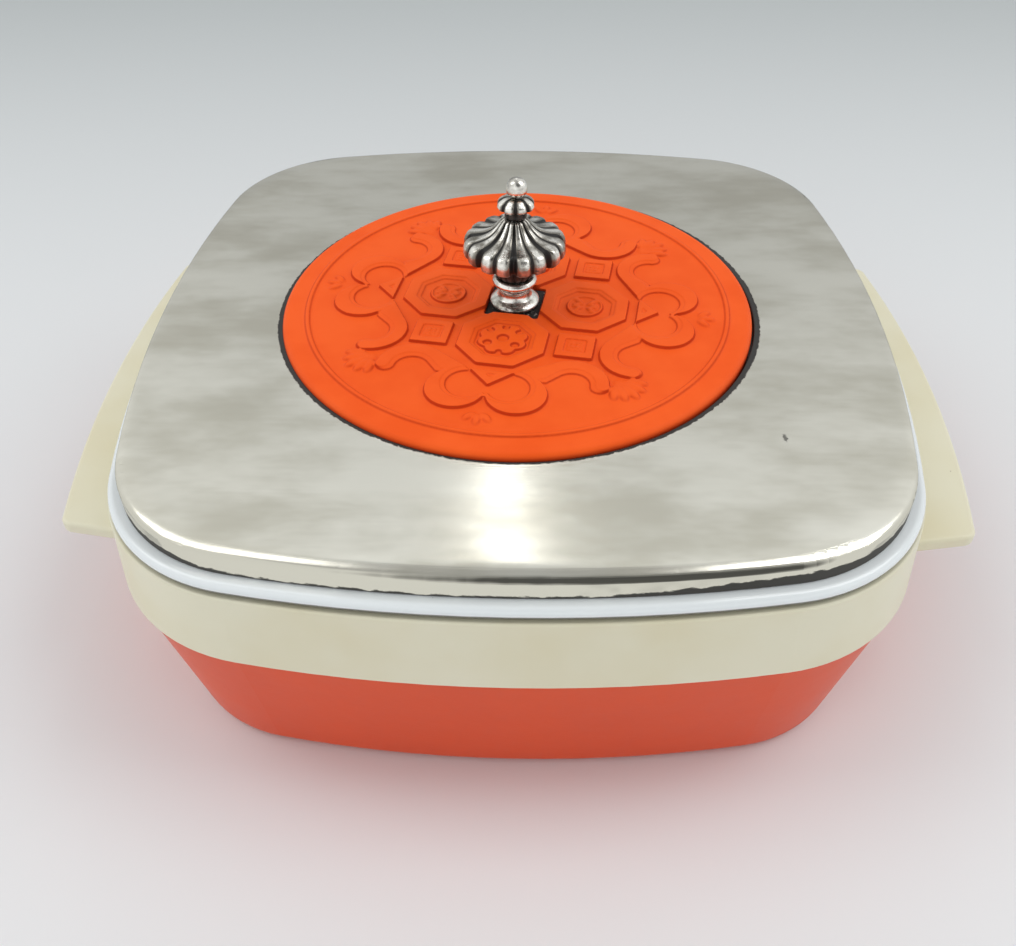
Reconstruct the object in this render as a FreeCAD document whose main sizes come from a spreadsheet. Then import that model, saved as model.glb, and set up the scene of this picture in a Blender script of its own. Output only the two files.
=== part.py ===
"""Insulated serving casserole: a foam-filled base with a handled collar, a lift-out
glazed dish, and a metal-covered lid with an inset ornament disc and a stacked finial.

The frame has its origin at the middle of the foot, +Z up, +X towards a handle.
"""
import FreeCAD
import Part
import Sketcher
import math
import os
import re

# ---------------------------------------------------------------- driving sizes, mm
SIZES = {
    # plan outline of the lid cover: four long side arcs and four corner arcs
    "lid_half": 119.5,
    "side_radius": 420,
    "corner_radius": 48,
    # clearances
    "lift_gap": 0.3,
    "seat_gap": 0.1,
    "dish_air": 1.0,
    # outer bowl
    "bowl_foot_inset": 5.3,
    "bowl_brim_outset": 5.6,
    "bowl_wall": 2.6,
    "bowl_floor": 3.0,
    "bowl_round": 5.0,
    "foot_recess": 2.0,
    "foot_width": 4.9,
    "shelf_thick": 4.0,
    "neck_height": 7.0,
    "fill_hole": 6.0,
    "plug_head": 9.5,
    "plug_thick": 1.4,
    # collar with its two wings
    "collar_low": 55.8,
    "collar_height": 24.6,
    "collar_low_outset": 6.5,
    "collar_high_outset": 4.7,
    "collar_wall": 2.8,
    "collar_edge": 0.7,
    "deck_thick": 3.2,
    "wing_top": 64.0,
    "wing_thick": 4.4,
    "wing_reach": 24.3,
    "wing_end_radius": 430,
    "wing_half_width": 74.7,
    "wing_flare": 3.0,
    "wing_corner": 4.0,
    "wing_edge": 1.2,
    # well and its foam
    "floor_foam": 7.4,
    "well_wall": 1.5,
    "well_flange_width": 4.0,
    "well_flange_thick": 1.6,
    "well_round": 8.0,
    # lift-out dish
    "rim_thick": 4.2,
    "rim_outset": 4.0,
    "rim_nose": 2.0,
    "dish_wall": 3.2,
    "dish_floor": 3.6,
    "dish_mouth_inset": 9.6,
    "dish_foot_inset": 18.0,
    "dish_round": 9.0,
    "mouth_round": 1.5,
    # metal lid cover
    "skirt_height": 8.1,
    "cover_sheet": 0.9,
    "roll_radius": 3.0,
    "pan_radius": 80.0,
    "pan_depth": 3.0,
    "pan_lip": 0.5,
    # lid liner and its foam
    "liner_wall": 2.0,
    "liner_flange": 1.8,
    "plug_depth": 11.0,
    "plug_air": 0.8,
    "liner_round": 4.0,
    "boss_radius": 11.0,
    "nut_pocket_radius": 8.0,
    "nut_pocket_depth": 5.4,
    "fill_offset": 46.0,
    # ornament disc
    "joint_width": 3.1,
    "disc_proud": 2.4,
    "disc_round": 1.5,
    "disc_turn": -9.2,
    "relief": 1.2,
    "ridge_inset": 7.5,
    "ridge_width": 1.6,
    "star_pitch": 23.0,
    "octagon_half": 14.0,
    "octagon_frame": 9.7,
    "square_half": 6.0,
    "square_frame": 3.2,
    "frame_line": 1.0,
    "frame_depth": 0.4,
    "lobe_spread": 9.1,
    "lobe_reach": 50.0,
    "lobe_radius": 9.3,
    "eye_radius": 6.5,
    "eye_shift": 2.8,
    "arm_spread": 24.8,
    "arm_reach": 42.0,
    "arm_radius": 8.3,
    "arm_width": 5.8,
    "arm_overlap": 1.0,
    "arm_root_spread": 17.0,
    "arm_root_reach": 42.8,
    "knob_radius": 2.9,
    "wedge_half": 6.8,
    "wedge_base": 40.2,
    "wedge_tip": 47.2,
    "bead_gap": 0.4,
    "bead_sink": 0.8,
    # socket of the finial
    "socket_half": 8.8,
    "socket_depth": 1.5,
    "pad_thick": 0.8,
    # finial, turned pieces from the bottom up
    "foot_radius": 8.05,
    "foot_height": 3.0,
    "waist_height": 3.9,
    "ring_radius": 6.9,
    "ring_height": 3.8,
    "ring_edge": 1.6,
    "ring_shoulder": 0.7,
    "ring_round": 1.9,
    "onion_seat": 5.6,
    "onion_radius": 16.0,
    "onion_height": 21.2,
    "onion_waist": 3.75,
    "belly_height": 9.6,
    "belly_drop": 4.0,
    "belly_inset": 3.4,
    "belly_round": 4.05,
    "under_round": 12.0,
    "flank_height": 4.8,
    "flank_inset": 0.95,
    "flank_round": 12.6,
    "shoulder_height": 2.1,
    "shoulder_inset": 2.5,
    "shoulder_round": 2.8,
    "ogee_radius": 12.5,
    "flute_radius": 1.3,
    "flute_rise": 0.3,
    "flute_reach": 6.0,
    "flute_lift": 0.7,
    "notch_radius": 0.9,
    "crown_radius": 5.35,
    "crown_height": 6.4,
    "crown_step": 0.6,
    "bead_height": 5.76,
    "bead_round": 3.05,
    "ball_radius": 3.3,
    "ball_stem": 1.9,
    "ball_seat": 0.3,
    # tie rod and its nut
    "stud_radius": 2.0,
    "stud_tip_radius": 1.2,
    "stud_shoulder": 2.56,
    "washer_radius": 6.0,
    "washer_thick": 1.0,
    "nut_across_flats": 7.0,
    "nut_thick": 3.2,
}
FLUTE_COUNT = 16
BEAD_COUNT = 8
FLUTE_SWEEP = 160  # degrees about the flute's own middle
ARM_END, ARM_INNER_START, ARM_OUTER_START = -5, 138, 122  # bearings on an arm's arc, degrees
HALF_ROUND = 0.503  # radius of an arc just short of a half circle, as a share of its chord

# ------------------------------------------- places and sizes that follow from these
PLACES = {
    # heights
    "bowl_floor_top": "foot_recess + bowl_floor",
    "neck_top": "collar_low + neck_height",
    "deck_top": "collar_low + collar_height",
    "deck_low": "deck_top - deck_thick",
    "rim_low": "deck_top + lift_gap",
    "rim_top": "rim_low + rim_thick",
    "skirt_low": "rim_top + lift_gap",
    "lid_top": "skirt_low + skirt_height",
    "pan_floor": "lid_top - pan_depth",
    "pan_under": "pan_floor - cover_sheet",
    "well_low": "bowl_floor_top + floor_foam",
    "well_flange_low": "deck_top - well_flange_thick",
    "dish_low": "well_low + well_wall + dish_air",
    "liner_low": "rim_top - plug_depth",
    "disc_radius": "pan_radius - joint_width",
    "ridge_radius": "disc_radius - ridge_inset",
    "disc_top": "lid_top + disc_proud",
    "socket_floor": "disc_top - socket_depth",
    "finial_low": "socket_floor + pad_thick",
    "ring_low": "finial_low + foot_height + waist_height",
    "onion_low": "ring_low + ring_height",
    "crown_low": "onion_low + onion_height",
    "ball_low": "crown_low + crown_height",
    "stud_step": "crown_low + stud_shoulder",
    "washer_low": "liner_low + nut_pocket_depth - washer_thick - seat_gap",
    "nut_low": "washer_low - nut_thick",
    # how fast the walls lean, mm out for each mm up
    "bowl_lean": "(bowl_brim_outset + bowl_foot_inset) / collar_low",
    "collar_lean": "(collar_high_outset - collar_low_outset) / collar_height",
    "dish_lean": "(dish_foot_inset - dish_mouth_inset) / (rim_low - dish_low)",
    # outlines, mm outside the lid cover's own
    "neck_outset": "collar_low_outset - collar_wall - seat_gap",
    "neck_hollow": "neck_outset + collar_lean * neck_height - bowl_wall",
    "shelf_low": "collar_low - shelf_thick",
    "bowl_hollow": "bowl_brim_outset - bowl_lean * shelf_thick - bowl_wall",
    "dish_under_rim": "0 - dish_mouth_inset",
    "well_inside": "dish_under_rim + dish_air",
    "well_outside": "well_inside + well_wall",
    "deck_opening": "well_outside + seat_gap",
    "rebate": "deck_opening + well_flange_width",
    "dish_mouth": "dish_under_rim - dish_wall + dish_lean * rim_thick",
    "liner_outside": "dish_mouth - plug_air",
}


def expression(text):
    """The spreadsheet expression for a formula written with the plain names above."""
    def swap(match):
        word = match.group()
        if word in PLACES:
            return "(" + expression(PLACES[word]) + ")"
        if word in SIZES:
            return "Sizes." + word
        return word
    return re.sub(r"[a-z_]+", swap, text)


doc = FreeCAD.newDocument("casserole")
sheet = doc.addObject("Spreadsheet::Sheet", "Sizes")
for row, (size_name, size) in enumerate(SIZES.items(), start=1):
    sheet.set(f"A{row}", size_name)
    sheet.set(f"B{row}", str(size))
    sheet.setAlias(f"B{row}", size_name)
doc.recompute()
PIECES = []


def number(text):
    """The value of a formula, for the starting shape of a sketch."""
    answer = sheet.evalExpression(expression(text))
    return float(getattr(answer, "Value", answer))


# ------------------------------------------------------------------ drawing helpers
def new_piece(label):
    body = doc.addObject("PartDesign::Body", label)
    body.Label = label
    PIECES.append(body)
    return body


def new_sketch(body, role="XY_Plane", height="0"):
    """A sketch on one of the body's own origin planes, lifted to a height on XY."""
    sketch = body.newObject("Sketcher::SketchObject", body.Label + "_sketch")
    plane = next(item for item in body.Origin.OriginFeatures if item.Role == role)
    sketch.AttachmentSupport = [(plane, "")]
    sketch.MapMode = "FlatFace"
    if role == "XY_Plane":
        sketch.setExpression(".AttachmentOffset.Base.z", expression(height))
    return sketch


def bind(sketch, constraint, formula):
    """Adds one dimension to a sketch and ties it to the sheet."""
    index = sketch.addConstraint(constraint)
    sketch.setExpression(f"Constraints[{index}]", expression(formula))


def outline_arcs():
    """The two arc radii of the outline, how far the side arcs' centres lie beyond the axis,
    how far the corner arcs' centres lie along X and Y, and half the turn of a side arc."""
    half, side, corner = number("lid_half"), number("side_radius"), number("corner_radius")
    shift = side - half
    reach = (math.sqrt(2 * (side - corner) ** 2 - shift ** 2) - shift) / 2
    return side, corner, shift, reach, math.atan2(reach, reach + shift)


def outset_at(point):
    """How far a point of the plan lies outside the lid's outline."""
    side, corner, shift, reach, spread = outline_arcs()
    across, along = abs(point.x), abs(point.y)
    for far, near in ((across, along), (along, across)):
        if math.atan2(near, far + shift) <= spread:
            return math.hypot(far + shift, near) - side
    return math.hypot(across - reach, along - reach) - corner


def outline(body, outset, height):
    """The lid's rounded-square outline, moved outwards by outset, at a height."""
    sketch = new_sketch(body, height=height)
    side, corner, shift, reach, spread = outline_arcs()
    grow = number(outset)
    up = FreeCAD.Vector(0, 0, 1)
    arcs = []
    for quarter in range(4):
        turn = quarter * math.pi / 2
        cos, sin = math.cos(turn), math.sin(turn)
        side_centre = FreeCAD.Vector(-shift * cos, -shift * sin, 0)
        corner_centre = FreeCAD.Vector(reach * (cos - sin), reach * (cos + sin), 0)
        arcs.append(Part.ArcOfCircle(Part.Circle(side_centre, up, side + grow), turn - spread, turn + spread))
        arcs.append(Part.ArcOfCircle(Part.Circle(corner_centre, up, corner + grow),
                                     turn + spread, turn + math.pi / 2 - spread))
    sketch.addGeometry(arcs, False)
    for index in range(8):
        sketch.addConstraint(Sketcher.Constraint("Tangent", index, 2, (index + 1) % 8, 1))
    for index in range(0, 8, 2):
        axis = -1 if index % 4 == 0 else -2
        sketch.addConstraint(Sketcher.Constraint("PointOnObject", index, 3, axis))
        bind(sketch, Sketcher.Constraint("Distance", index, 3, -1, 1, shift), "side_radius - lid_half")
        bind(sketch, Sketcher.Constraint("Radius", index, side + grow), f"side_radius + {outset}")
        bind(sketch, Sketcher.Constraint("Radius", index + 1, corner + grow), f"corner_radius + {outset}")
    return sketch


def place_point(sketch, index, point, across, along):
    """Ties a sketch point to two formulas, from the sketch's origin."""
    for kind, axis, formula in (("DistanceX", -2, across), ("DistanceY", -1, along)):
        if formula == "0":
            sketch.addConstraint(Sketcher.Constraint("PointOnObject", index, point, axis))
        else:
            bind(sketch, Sketcher.Constraint(kind, -1, 1, index, point, number(formula)), formula)


def draw_circle(sketch, radius, across="0", along="0"):
    centre = FreeCAD.Vector(number(across), number(along), 0)
    index = sketch.addGeometry(Part.Circle(centre, FreeCAD.Vector(0, 0, 1), number(radius)), False)
    place_point(sketch, index, 3, across, along)
    bind(sketch, Sketcher.Constraint("Radius", index, number(radius)), radius)


def circle(body, radius, height, across="0", along="0"):
    sketch = new_sketch(body, height=height)
    draw_circle(sketch, radius, across, along)
    return sketch


def draw_path(sketch, corners):
    """A closed path through corners. A corner is (across, along) when a line leaves it, or
    (across, along, radius, bulge) when an arc does; bulge "left" or "right" says to which
    side of the walk from this corner to the next the arc swells."""
    spots = [FreeCAD.Vector(number(corner[0]), number(corner[1]), 0) for corner in corners]
    ends = []
    for step, corner in enumerate(corners):
        start, end = spots[step], spots[(step + 1) % len(spots)]
        if len(corner) == 2:
            index = sketch.addGeometry(Part.LineSegment(start, end), False)
            ends.append((index, 1, 2))
            continue
        radius, swell = number(corner[2]), corner[3]
        chord = end - start
        normal = FreeCAD.Vector(chord.y, -chord.x, 0).normalize()
        back = math.sqrt(max(radius ** 2 - (chord.Length / 2) ** 2, 0))
        side = -1 if swell == "right" else 1
        centre = (start + end) * 0.5 + normal * (side * back)
        first = math.atan2(start.y - centre.y, start.x - centre.x)
        last = math.atan2(end.y - centre.y, end.x - centre.x)
        ring = Part.Circle(centre, FreeCAD.Vector(0, 0, 1), radius)
        if swell == "right":
            index = sketch.addGeometry(Part.ArcOfCircle(ring, first, last), False)
            ends.append((index, 1, 2))
        else:
            index = sketch.addGeometry(Part.ArcOfCircle(ring, last, first), False)
            ends.append((index, 2, 1))
        bind(sketch, Sketcher.Constraint("Radius", index, radius), corner[2])
    for step, corner in enumerate(corners):
        index, start, end = ends[step]
        after, after_start, _ = ends[(step + 1) % len(ends)]
        sketch.addConstraint(Sketcher.Constraint("Coincident", index, end, after, after_start))
        place_point(sketch, index, start, corner[0], corner[1])


def path(body, corners, height):
    sketch = new_sketch(body, height=height)
    draw_path(sketch, corners)
    return sketch


def finish_feature(feature, base, adds):
    """Recomputes and makes sure that a pad added material or a pocket took some away."""
    doc.recompute()
    before = base.Shape.Volume if base is not None else 0.0
    after = feature.Shape.Volume
    if (after <= before) if adds else (after >= before):
        raise RuntimeError(f"{feature.Name} left the volume at {after:.1f}")
    return feature


def pad(body, sketch, height, lean=None):
    """Raises a sketch, leaning outwards by lean mm for each mm of height."""
    base = body.Tip
    feature = body.newObject("PartDesign::Pad", body.Label + "_pad")
    feature.Profile = sketch
    feature.setExpression("Length", expression(height))
    if lean is not None:
        feature.setExpression("TaperAngle", f"atan({expression(lean)})")
    return finish_feature(feature, base, adds=True)


def pocket(body, sketch, depth, lean=None):
    """Cuts down from a sketch; the hollow narrows downwards by lean mm for each mm."""
    base = body.Tip
    feature = body.newObject("PartDesign::Pocket", body.Label + "_pocket")
    feature.Profile = sketch
    feature.setExpression("Length", expression(depth))
    if lean is not None:
        feature.setExpression("TaperAngle", f"atan(-1 * {expression(lean)})")
    return finish_feature(feature, base, adds=False)


def round_edges(body, radius, chosen):
    """Fillets the edges of the last feature for which chosen(edge) is true."""
    base = body.Tip
    names = [f"Edge{i}" for i, edge in enumerate(base.Shape.Edges, start=1) if chosen(edge)]
    if not names:
        raise RuntimeError(f"{body.Label} has no edge to round")
    feature = body.newObject("PartDesign::Fillet", body.Label + "_fillet")
    feature.Base = (base, names)
    feature.setExpression("Radius", expression(radius))
    doc.recompute()
    return feature


def level(height, inside=None, outside=None):
    """Chooses edges that lie flat at a height, by the outset of their middle point."""
    aim = number(height)

    def chosen(edge):
        box = edge.BoundBox
        if abs(box.ZMin - aim) > 1e-4 or abs(box.ZMax - aim) > 1e-4:
            return False
        outset = outset_at(edge.valueAt((edge.FirstParameter + edge.LastParameter) / 2))
        return (inside is None or outset < number(inside)) and (outside is None or outset > number(outside))
    return chosen


def turned(body, corners):
    """A solid of revolution about Z. Corners are (radius, height) as in draw_path, walked
    anticlockwise in a view with the radius to the right and the height upwards."""
    sketch = new_sketch(body, role="XZ_Plane")
    draw_path(sketch, corners)
    feature = body.newObject("PartDesign::Revolution", body.Label + "_turned")
    feature.Profile = sketch
    feature.ReferenceAxis = (sketch, ["V_Axis"])
    feature.Angle = 360
    return finish_feature(feature, None, adds=True)


def around(body, features, count):
    """Repeats features about the Z axis."""
    pattern = body.newObject("PartDesign::PolarPattern", body.Label + "_around")
    pattern.Originals = features
    pattern.Axis = (next(i for i in body.Origin.OriginFeatures if i.Role == "Z_Axis"), [""])
    pattern.Angle = 360
    pattern.Occurrences = count
    body.Tip = pattern
    doc.recompute()
    return pattern


def square(body, half, height, across="0", along="0"):
    left, right = f"{across} - {half}", f"{across} + {half}"
    front, back = f"{along} - {half}", f"{along} + {half}"
    return path(body, [(left, front), (right, front), (right, back), (left, back)], height)


# ------------------------------------------------------------------------- the base
def make_outer_bowl():
    bowl = new_piece("outer_bowl")
    pad(bowl, outline(bowl, "(0 - bowl_foot_inset)", "0"), "collar_low", "bowl_lean")
    round_edges(bowl, "bowl_round", level("0"))
    pad(bowl, outline(bowl, "neck_outset", "collar_low"), "neck_height", "collar_lean")
    pocket(bowl, outline(bowl, "neck_hollow", "neck_top"), "neck_height + shelf_thick")
    pocket(bowl, outline(bowl, "bowl_hollow", "shelf_low"), "shelf_low - bowl_floor_top", "bowl_lean")
    foot_inside = "(0 - bowl_foot_inset - bowl_round - foot_width)"
    pocket(bowl, outline(bowl, foot_inside, "foot_recess"), "foot_recess")
    pocket(bowl, circle(bowl, "fill_hole", "bowl_floor_top"), "bowl_floor")


def make_filling_plug():
    plug = new_piece("filling_plug")
    stem = "fill_hole - seat_gap"
    turned(plug, [
        ("0", "foot_recess - plug_thick"), ("plug_head", "foot_recess - plug_thick"),
        ("plug_head", "foot_recess"), (stem, "foot_recess"),
        (stem, "bowl_floor_top"), ("0", "bowl_floor_top")])
    round_edges(plug, "plug_thick / 2", level("foot_recess - plug_thick"))


def make_bowl_insulation():
    foam = new_piece("bowl_insulation")
    low = "bowl_floor_top + seat_gap"
    foot = "(bowl_hollow - bowl_lean * (shelf_low - bowl_floor_top - seat_gap) - seat_gap)"
    pad(foam, outline(foam, foot, low), "shelf_low - bowl_floor_top - 2 * seat_gap", "bowl_lean")
    neck = "(neck_hollow - seat_gap)"
    pad(foam, outline(foam, neck, "shelf_low - seat_gap"), "deck_low - shelf_low")
    well = "(well_outside + seat_gap - dish_lean * (rim_low - deck_low + seat_gap))"
    depth = "deck_low - well_low"
    pocket(foam, outline(foam, well, "deck_low - seat_gap"), depth, "dish_lean")


def make_handle_collar():
    collar = new_piece("handle_collar")
    end_x = "(lid_half + wing_reach - wing_end_radius" \
            " + sqrt(wing_end_radius * wing_end_radius - wing_half_width * wing_half_width))"
    root_y = "(wing_half_width + wing_flare)"
    wings = path(collar, [
        (f"0 - {end_x}", "0 - wing_half_width"),
        ("0 - lid_half", f"0 - {root_y}"),
        ("lid_half", f"0 - {root_y}"),
        (end_x, "0 - wing_half_width", "wing_end_radius", "right"),
        (end_x, "wing_half_width"),
        ("lid_half", root_y),
        ("0 - lid_half", root_y),
        (f"0 - {end_x}", "wing_half_width", "wing_end_radius", "right"),
    ], "wing_top - wing_thick")
    pad(collar, wings, "wing_thick")
    tip = math.hypot(number("lid_half") + number("wing_reach") / 2, number("wing_half_width"))
    round_edges(collar, "wing_corner", lambda edge: edge.BoundBox.ZLength > number("wing_thick") / 2
                and math.hypot(edge.BoundBox.Center.x, edge.BoundBox.Center.y) > tip)
    round_edges(collar, "wing_edge", lambda edge: edge.BoundBox.ZLength < 1e-4)
    pad(collar, outline(collar, "collar_low_outset", "collar_low"), "collar_height", "collar_lean")
    inside = "(collar_low_outset - collar_wall + collar_lean * (collar_height - deck_thick))"
    pocket(collar, outline(collar, inside, "deck_low"), "collar_height - deck_thick", "collar_lean")
    pocket(collar, outline(collar, "deck_opening", "deck_top"), "deck_thick")
    pocket(collar, outline(collar, "rebate", "deck_top"), "well_flange_thick")
    round_edges(collar, "collar_edge", level("deck_top", outside="rebate + seat_gap"))
    round_edges(collar, "collar_edge / 2", level("collar_low", outside="collar_low_outset - collar_wall / 2"))


def make_inner_well():
    well = new_piece("inner_well")
    foot = "(well_outside - dish_lean * (rim_low - well_low))"
    pad(well, outline(well, foot, "well_low"), "well_flange_low - well_low", "dish_lean")
    flange = "(rebate - seat_gap)"
    pad(well, outline(well, flange, "well_flange_low"), "well_flange_thick")
    depth = "deck_top - well_low - well_wall"
    pocket(well, outline(well, "well_inside", "deck_top"), depth, "dish_lean")
    round_edges(well, "well_round", level("well_low + well_wall"))
    round_edges(well, "well_round + well_wall", level("well_low"))


# ------------------------------------------------------------------------- the dish
def make_serving_dish():
    dish = new_piece("serving_dish")
    pad(dish, outline(dish, "(0 - dish_foot_inset)", "dish_low"), "rim_low - dish_low", "dish_lean")
    pad(dish, outline(dish, "rim_outset", "rim_low"), "rim_thick")
    round_edges(dish, "rim_nose", level("rim_top"))
    round_edges(dish, "rim_nose", level("rim_low", outside="0"))
    depth = "rim_top - dish_low - dish_floor"
    pocket(dish, outline(dish, "dish_mouth", "rim_top"), depth, "dish_lean")
    round_edges(dish, "dish_round", level("dish_low + dish_floor"))
    round_edges(dish, "dish_round + dish_wall", level("dish_low"))
    round_edges(dish, "mouth_round", level("rim_top", inside="dish_mouth + seat_gap"))


# -------------------------------------------------------------------------- the lid
def make_lid_cover():
    cover = new_piece("lid_cover")
    pad(cover, outline(cover, "0", "skirt_low"), "skirt_height")
    round_edges(cover, "roll_radius", level("lid_top"))
    pocket(cover, outline(cover, "(0 - cover_sheet)", "lid_top - cover_sheet"), "skirt_height - cover_sheet")
    round_edges(cover, "roll_radius - cover_sheet", level("lid_top - cover_sheet"))
    pad(cover, circle(cover, "pan_radius + cover_sheet", "pan_under"), "pan_depth")
    pocket(cover, circle(cover, "pan_radius", "lid_top"), "pan_depth")
    round_edges(cover, "pan_lip", level("lid_top", inside="0 - roll_radius - seat_gap"))
    pocket(cover, circle(cover, "stud_radius + seat_gap", "pan_floor"), "cover_sheet")


def make_joint_bead():
    bead = new_piece("joint_bead")
    inner, outer = "disc_radius + bead_gap / 2", "pan_radius - bead_gap / 2"
    top = "lid_top - bead_sink"
    low = "pan_floor + seat_gap"
    turned(bead, [(inner, low), (outer, low), (outer, top), (inner, top)])
    round_edges(bead, "bead_sink", level(top))


def make_lid_insulation():
    foam = new_piece("lid_insulation")
    flange_top = "skirt_low + liner_flange + seat_gap"
    plug_low = "liner_low + liner_wall + seat_gap"
    plug_rise = "(plug_depth - liner_wall - seat_gap)"
    plug_foot = f"(liner_outside - liner_wall - seat_gap - dish_lean * {plug_rise})"
    pad(foam, outline(foam, plug_foot, plug_low), f"{flange_top} - ({plug_low})", "dish_lean")
    round_edges(foam, "liner_round", level(plug_low))
    edge = "(0 - cover_sheet - seat_gap)"
    pad(foam, outline(foam, edge, flange_top), f"lid_top - cover_sheet - seat_gap - ({flange_top})")
    round_edges(foam, "roll_radius", level("lid_top - cover_sheet - seat_gap"))
    pan = circle(foam, "pan_radius + cover_sheet + seat_gap", "lid_top")
    pocket(foam, pan, "lid_top - pan_under + seat_gap")
    pocket(foam, circle(foam, "boss_radius + seat_gap", "pan_under"), "pan_under - liner_low")


def make_lid_liner():
    liner = new_piece("lid_liner")
    plug_foot = "(liner_outside - dish_lean * plug_depth)"
    pad(liner, outline(liner, plug_foot, "liner_low"), "skirt_low - liner_low", "dish_lean")
    edge = "(0 - cover_sheet - seat_gap)"
    pad(liner, outline(liner, edge, "skirt_low"), "liner_flange")
    hollow = "(liner_outside - liner_wall + dish_lean * (lift_gap + liner_flange))"
    depth = "skirt_low + liner_flange - liner_low - liner_wall"
    pocket(liner, outline(liner, hollow, "skirt_low + liner_flange"), depth, "dish_lean")
    round_edges(liner, "liner_round", level("liner_low + liner_wall"))
    round_edges(liner, "liner_round + liner_wall", level("liner_low"))
    pad(liner, circle(liner, "boss_radius", "liner_low + liner_wall / 2"),
        "pan_under - seat_gap - liner_low - liner_wall / 2")
    pocket(liner, circle(liner, "nut_pocket_radius", "liner_low + nut_pocket_depth"), "nut_pocket_depth")
    pocket(liner, circle(liner, "stud_radius + seat_gap", "pan_under"), "pan_under - liner_low")
    hole = circle(liner, "fill_hole", "liner_low + liner_wall", "fill_offset", "fill_offset")
    pocket(liner, hole, "liner_wall")


def make_lid_filling_plug():
    plug = new_piece("lid_filling_plug")
    stem = "fill_hole - seat_gap"
    turned(plug, [
        ("0", "liner_low - plug_thick"), ("plug_head", "liner_low - plug_thick"),
        ("plug_head", "liner_low"), (stem, "liner_low"),
        (stem, "liner_low + liner_wall"), ("0", "liner_low + liner_wall")])
    round_edges(plug, "plug_thick / 2", level("liner_low - plug_thick"))
    plug.setExpression(".Placement.Base.x", expression("fill_offset"))
    plug.setExpression(".Placement.Base.y", expression("fill_offset"))


# --------------------------------------------------------------- the ornament disc
def turn_with_disc(body):
    """The ornament is set into the lid a little askew, and its socket with it."""
    body.Placement = FreeCAD.Placement(FreeCAD.Vector(), FreeCAD.Rotation(FreeCAD.Vector(0, 0, 1), -1))
    body.setExpression(".Placement.Rotation.Angle", expression("disc_turn"))


def octagon(body, half, height, along):
    """A regular octagon with its sides square to the axes, half across its flats."""
    cut = f"({half}) * (sqrt(2) - 1)"
    corners = []
    for across_sign, along_sign, first in ((1, 1, "side"), (-1, 1, "end"), (-1, -1, "side"), (1, -1, "end")):
        side = (f"{across_sign} * ({half})", f"{along} + {along_sign} * {cut}")
        end = (f"{across_sign} * {cut}", f"{along} + {along_sign} * ({half})")
        corners += [side, end] if first == "side" else [end, side]
    return path(body, corners, height)


def arm(body, side):
    """A scroll's arm: a band along an arc, that runs straight on to the wedge and the lobe.
    Side is 1 or -1."""
    inner, outer = "(arm_radius - arm_width / 2)", "(arm_radius + arm_width / 2)"

    def spot(reach, bearing):
        across = f"{side} * (arm_spread + {reach} * cos({bearing}))"
        return across, f"0 - arm_reach + {reach} * sin({bearing})"
    corners = [
        spot(outer, ARM_END) + (outer, "right" if side > 0 else "left"),
        spot(outer, ARM_OUTER_START),
        (f"{side} * (wedge_half - arm_overlap)", "0 - wedge_base - arm_overlap / 2"),
        (f"{side} * arm_root_spread", "0 - arm_root_reach"),
        spot(inner, ARM_INNER_START) + (inner, "left" if side > 0 else "right"),
        spot(inner, ARM_END),
    ]
    return path(body, corners, "disc_top")


def make_medallion():
    disc = new_piece("medallion")
    low, top, star_y = "pan_floor + seat_gap", "disc_top + relief", "(0 - star_pitch)"
    turned(disc, [("0", low), ("disc_radius", low), ("disc_radius", "disc_top"), ("0", "disc_top")])
    round_edges(disc, "disc_round", level("disc_top"))
    ridge = circle(disc, "ridge_radius + ridge_width / 2", "disc_top")
    draw_circle(ridge, "ridge_radius - ridge_width / 2")
    pad(disc, ridge, "relief / 2")
    carved = []
    for side in (1, -1):
        lobe = (f"{side} * lobe_spread", "(0 - lobe_reach)")
        eye = (f"{side} * (lobe_spread - eye_shift)", "(0 - lobe_reach + eye_shift)")
        carved.append(pad(disc, circle(disc, "lobe_radius", "disc_top", *lobe), "relief"))
        carved.append(pocket(disc, circle(disc, "eye_radius", top, *eye), "relief"))
    for side in (1, -1):
        knob = (f"{side} * (arm_spread + arm_radius)", "(0 - arm_reach)")
        carved.append(pad(disc, arm(disc, side), "relief"))
        carved.append(pad(disc, circle(disc, "knob_radius", "disc_top", *knob), "relief"))
    wedge = path(disc, [("0", "0 - wedge_tip"), ("wedge_half", "0 - wedge_base"),
                        ("0 - wedge_half", "0 - wedge_base")], "disc_top")
    carved.append(pad(disc, wedge, "relief"))
    carved.append(pad(disc, octagon(disc, "octagon_half", "disc_top", star_y), "relief"))
    carved.append(pocket(disc, octagon(disc, "octagon_frame", top, star_y), "frame_depth"))
    inside = octagon(disc, "octagon_frame - frame_line", f"{top} - frame_depth", star_y)
    carved.append(pad(disc, inside, "frame_depth"))
    stone = ("star_pitch", star_y)
    carved.append(pad(disc, square(disc, "square_half", "disc_top", *stone), "relief"))
    carved.append(pocket(disc, square(disc, "square_frame", top, *stone), "frame_depth"))
    inside = square(disc, "(square_frame - frame_line)", f"{top} - frame_depth", *stone)
    carved.append(pad(disc, inside, "frame_depth"))
    around(disc, carved, 4)
    pocket(disc, square(disc, "socket_half", top), "relief + socket_depth")
    pocket(disc, circle(disc, "stud_radius + seat_gap", "socket_floor"), "socket_floor - pan_floor")
    turn_with_disc(disc)


def make_finial_pad():
    seat = new_piece("finial_pad")
    pad(seat, square(seat, "(socket_half - seat_gap)", "socket_floor"), "pad_thick")
    pocket(seat, circle(seat, "stud_radius + seat_gap", "finial_low"), "pad_thick")
    turn_with_disc(seat)


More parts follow.
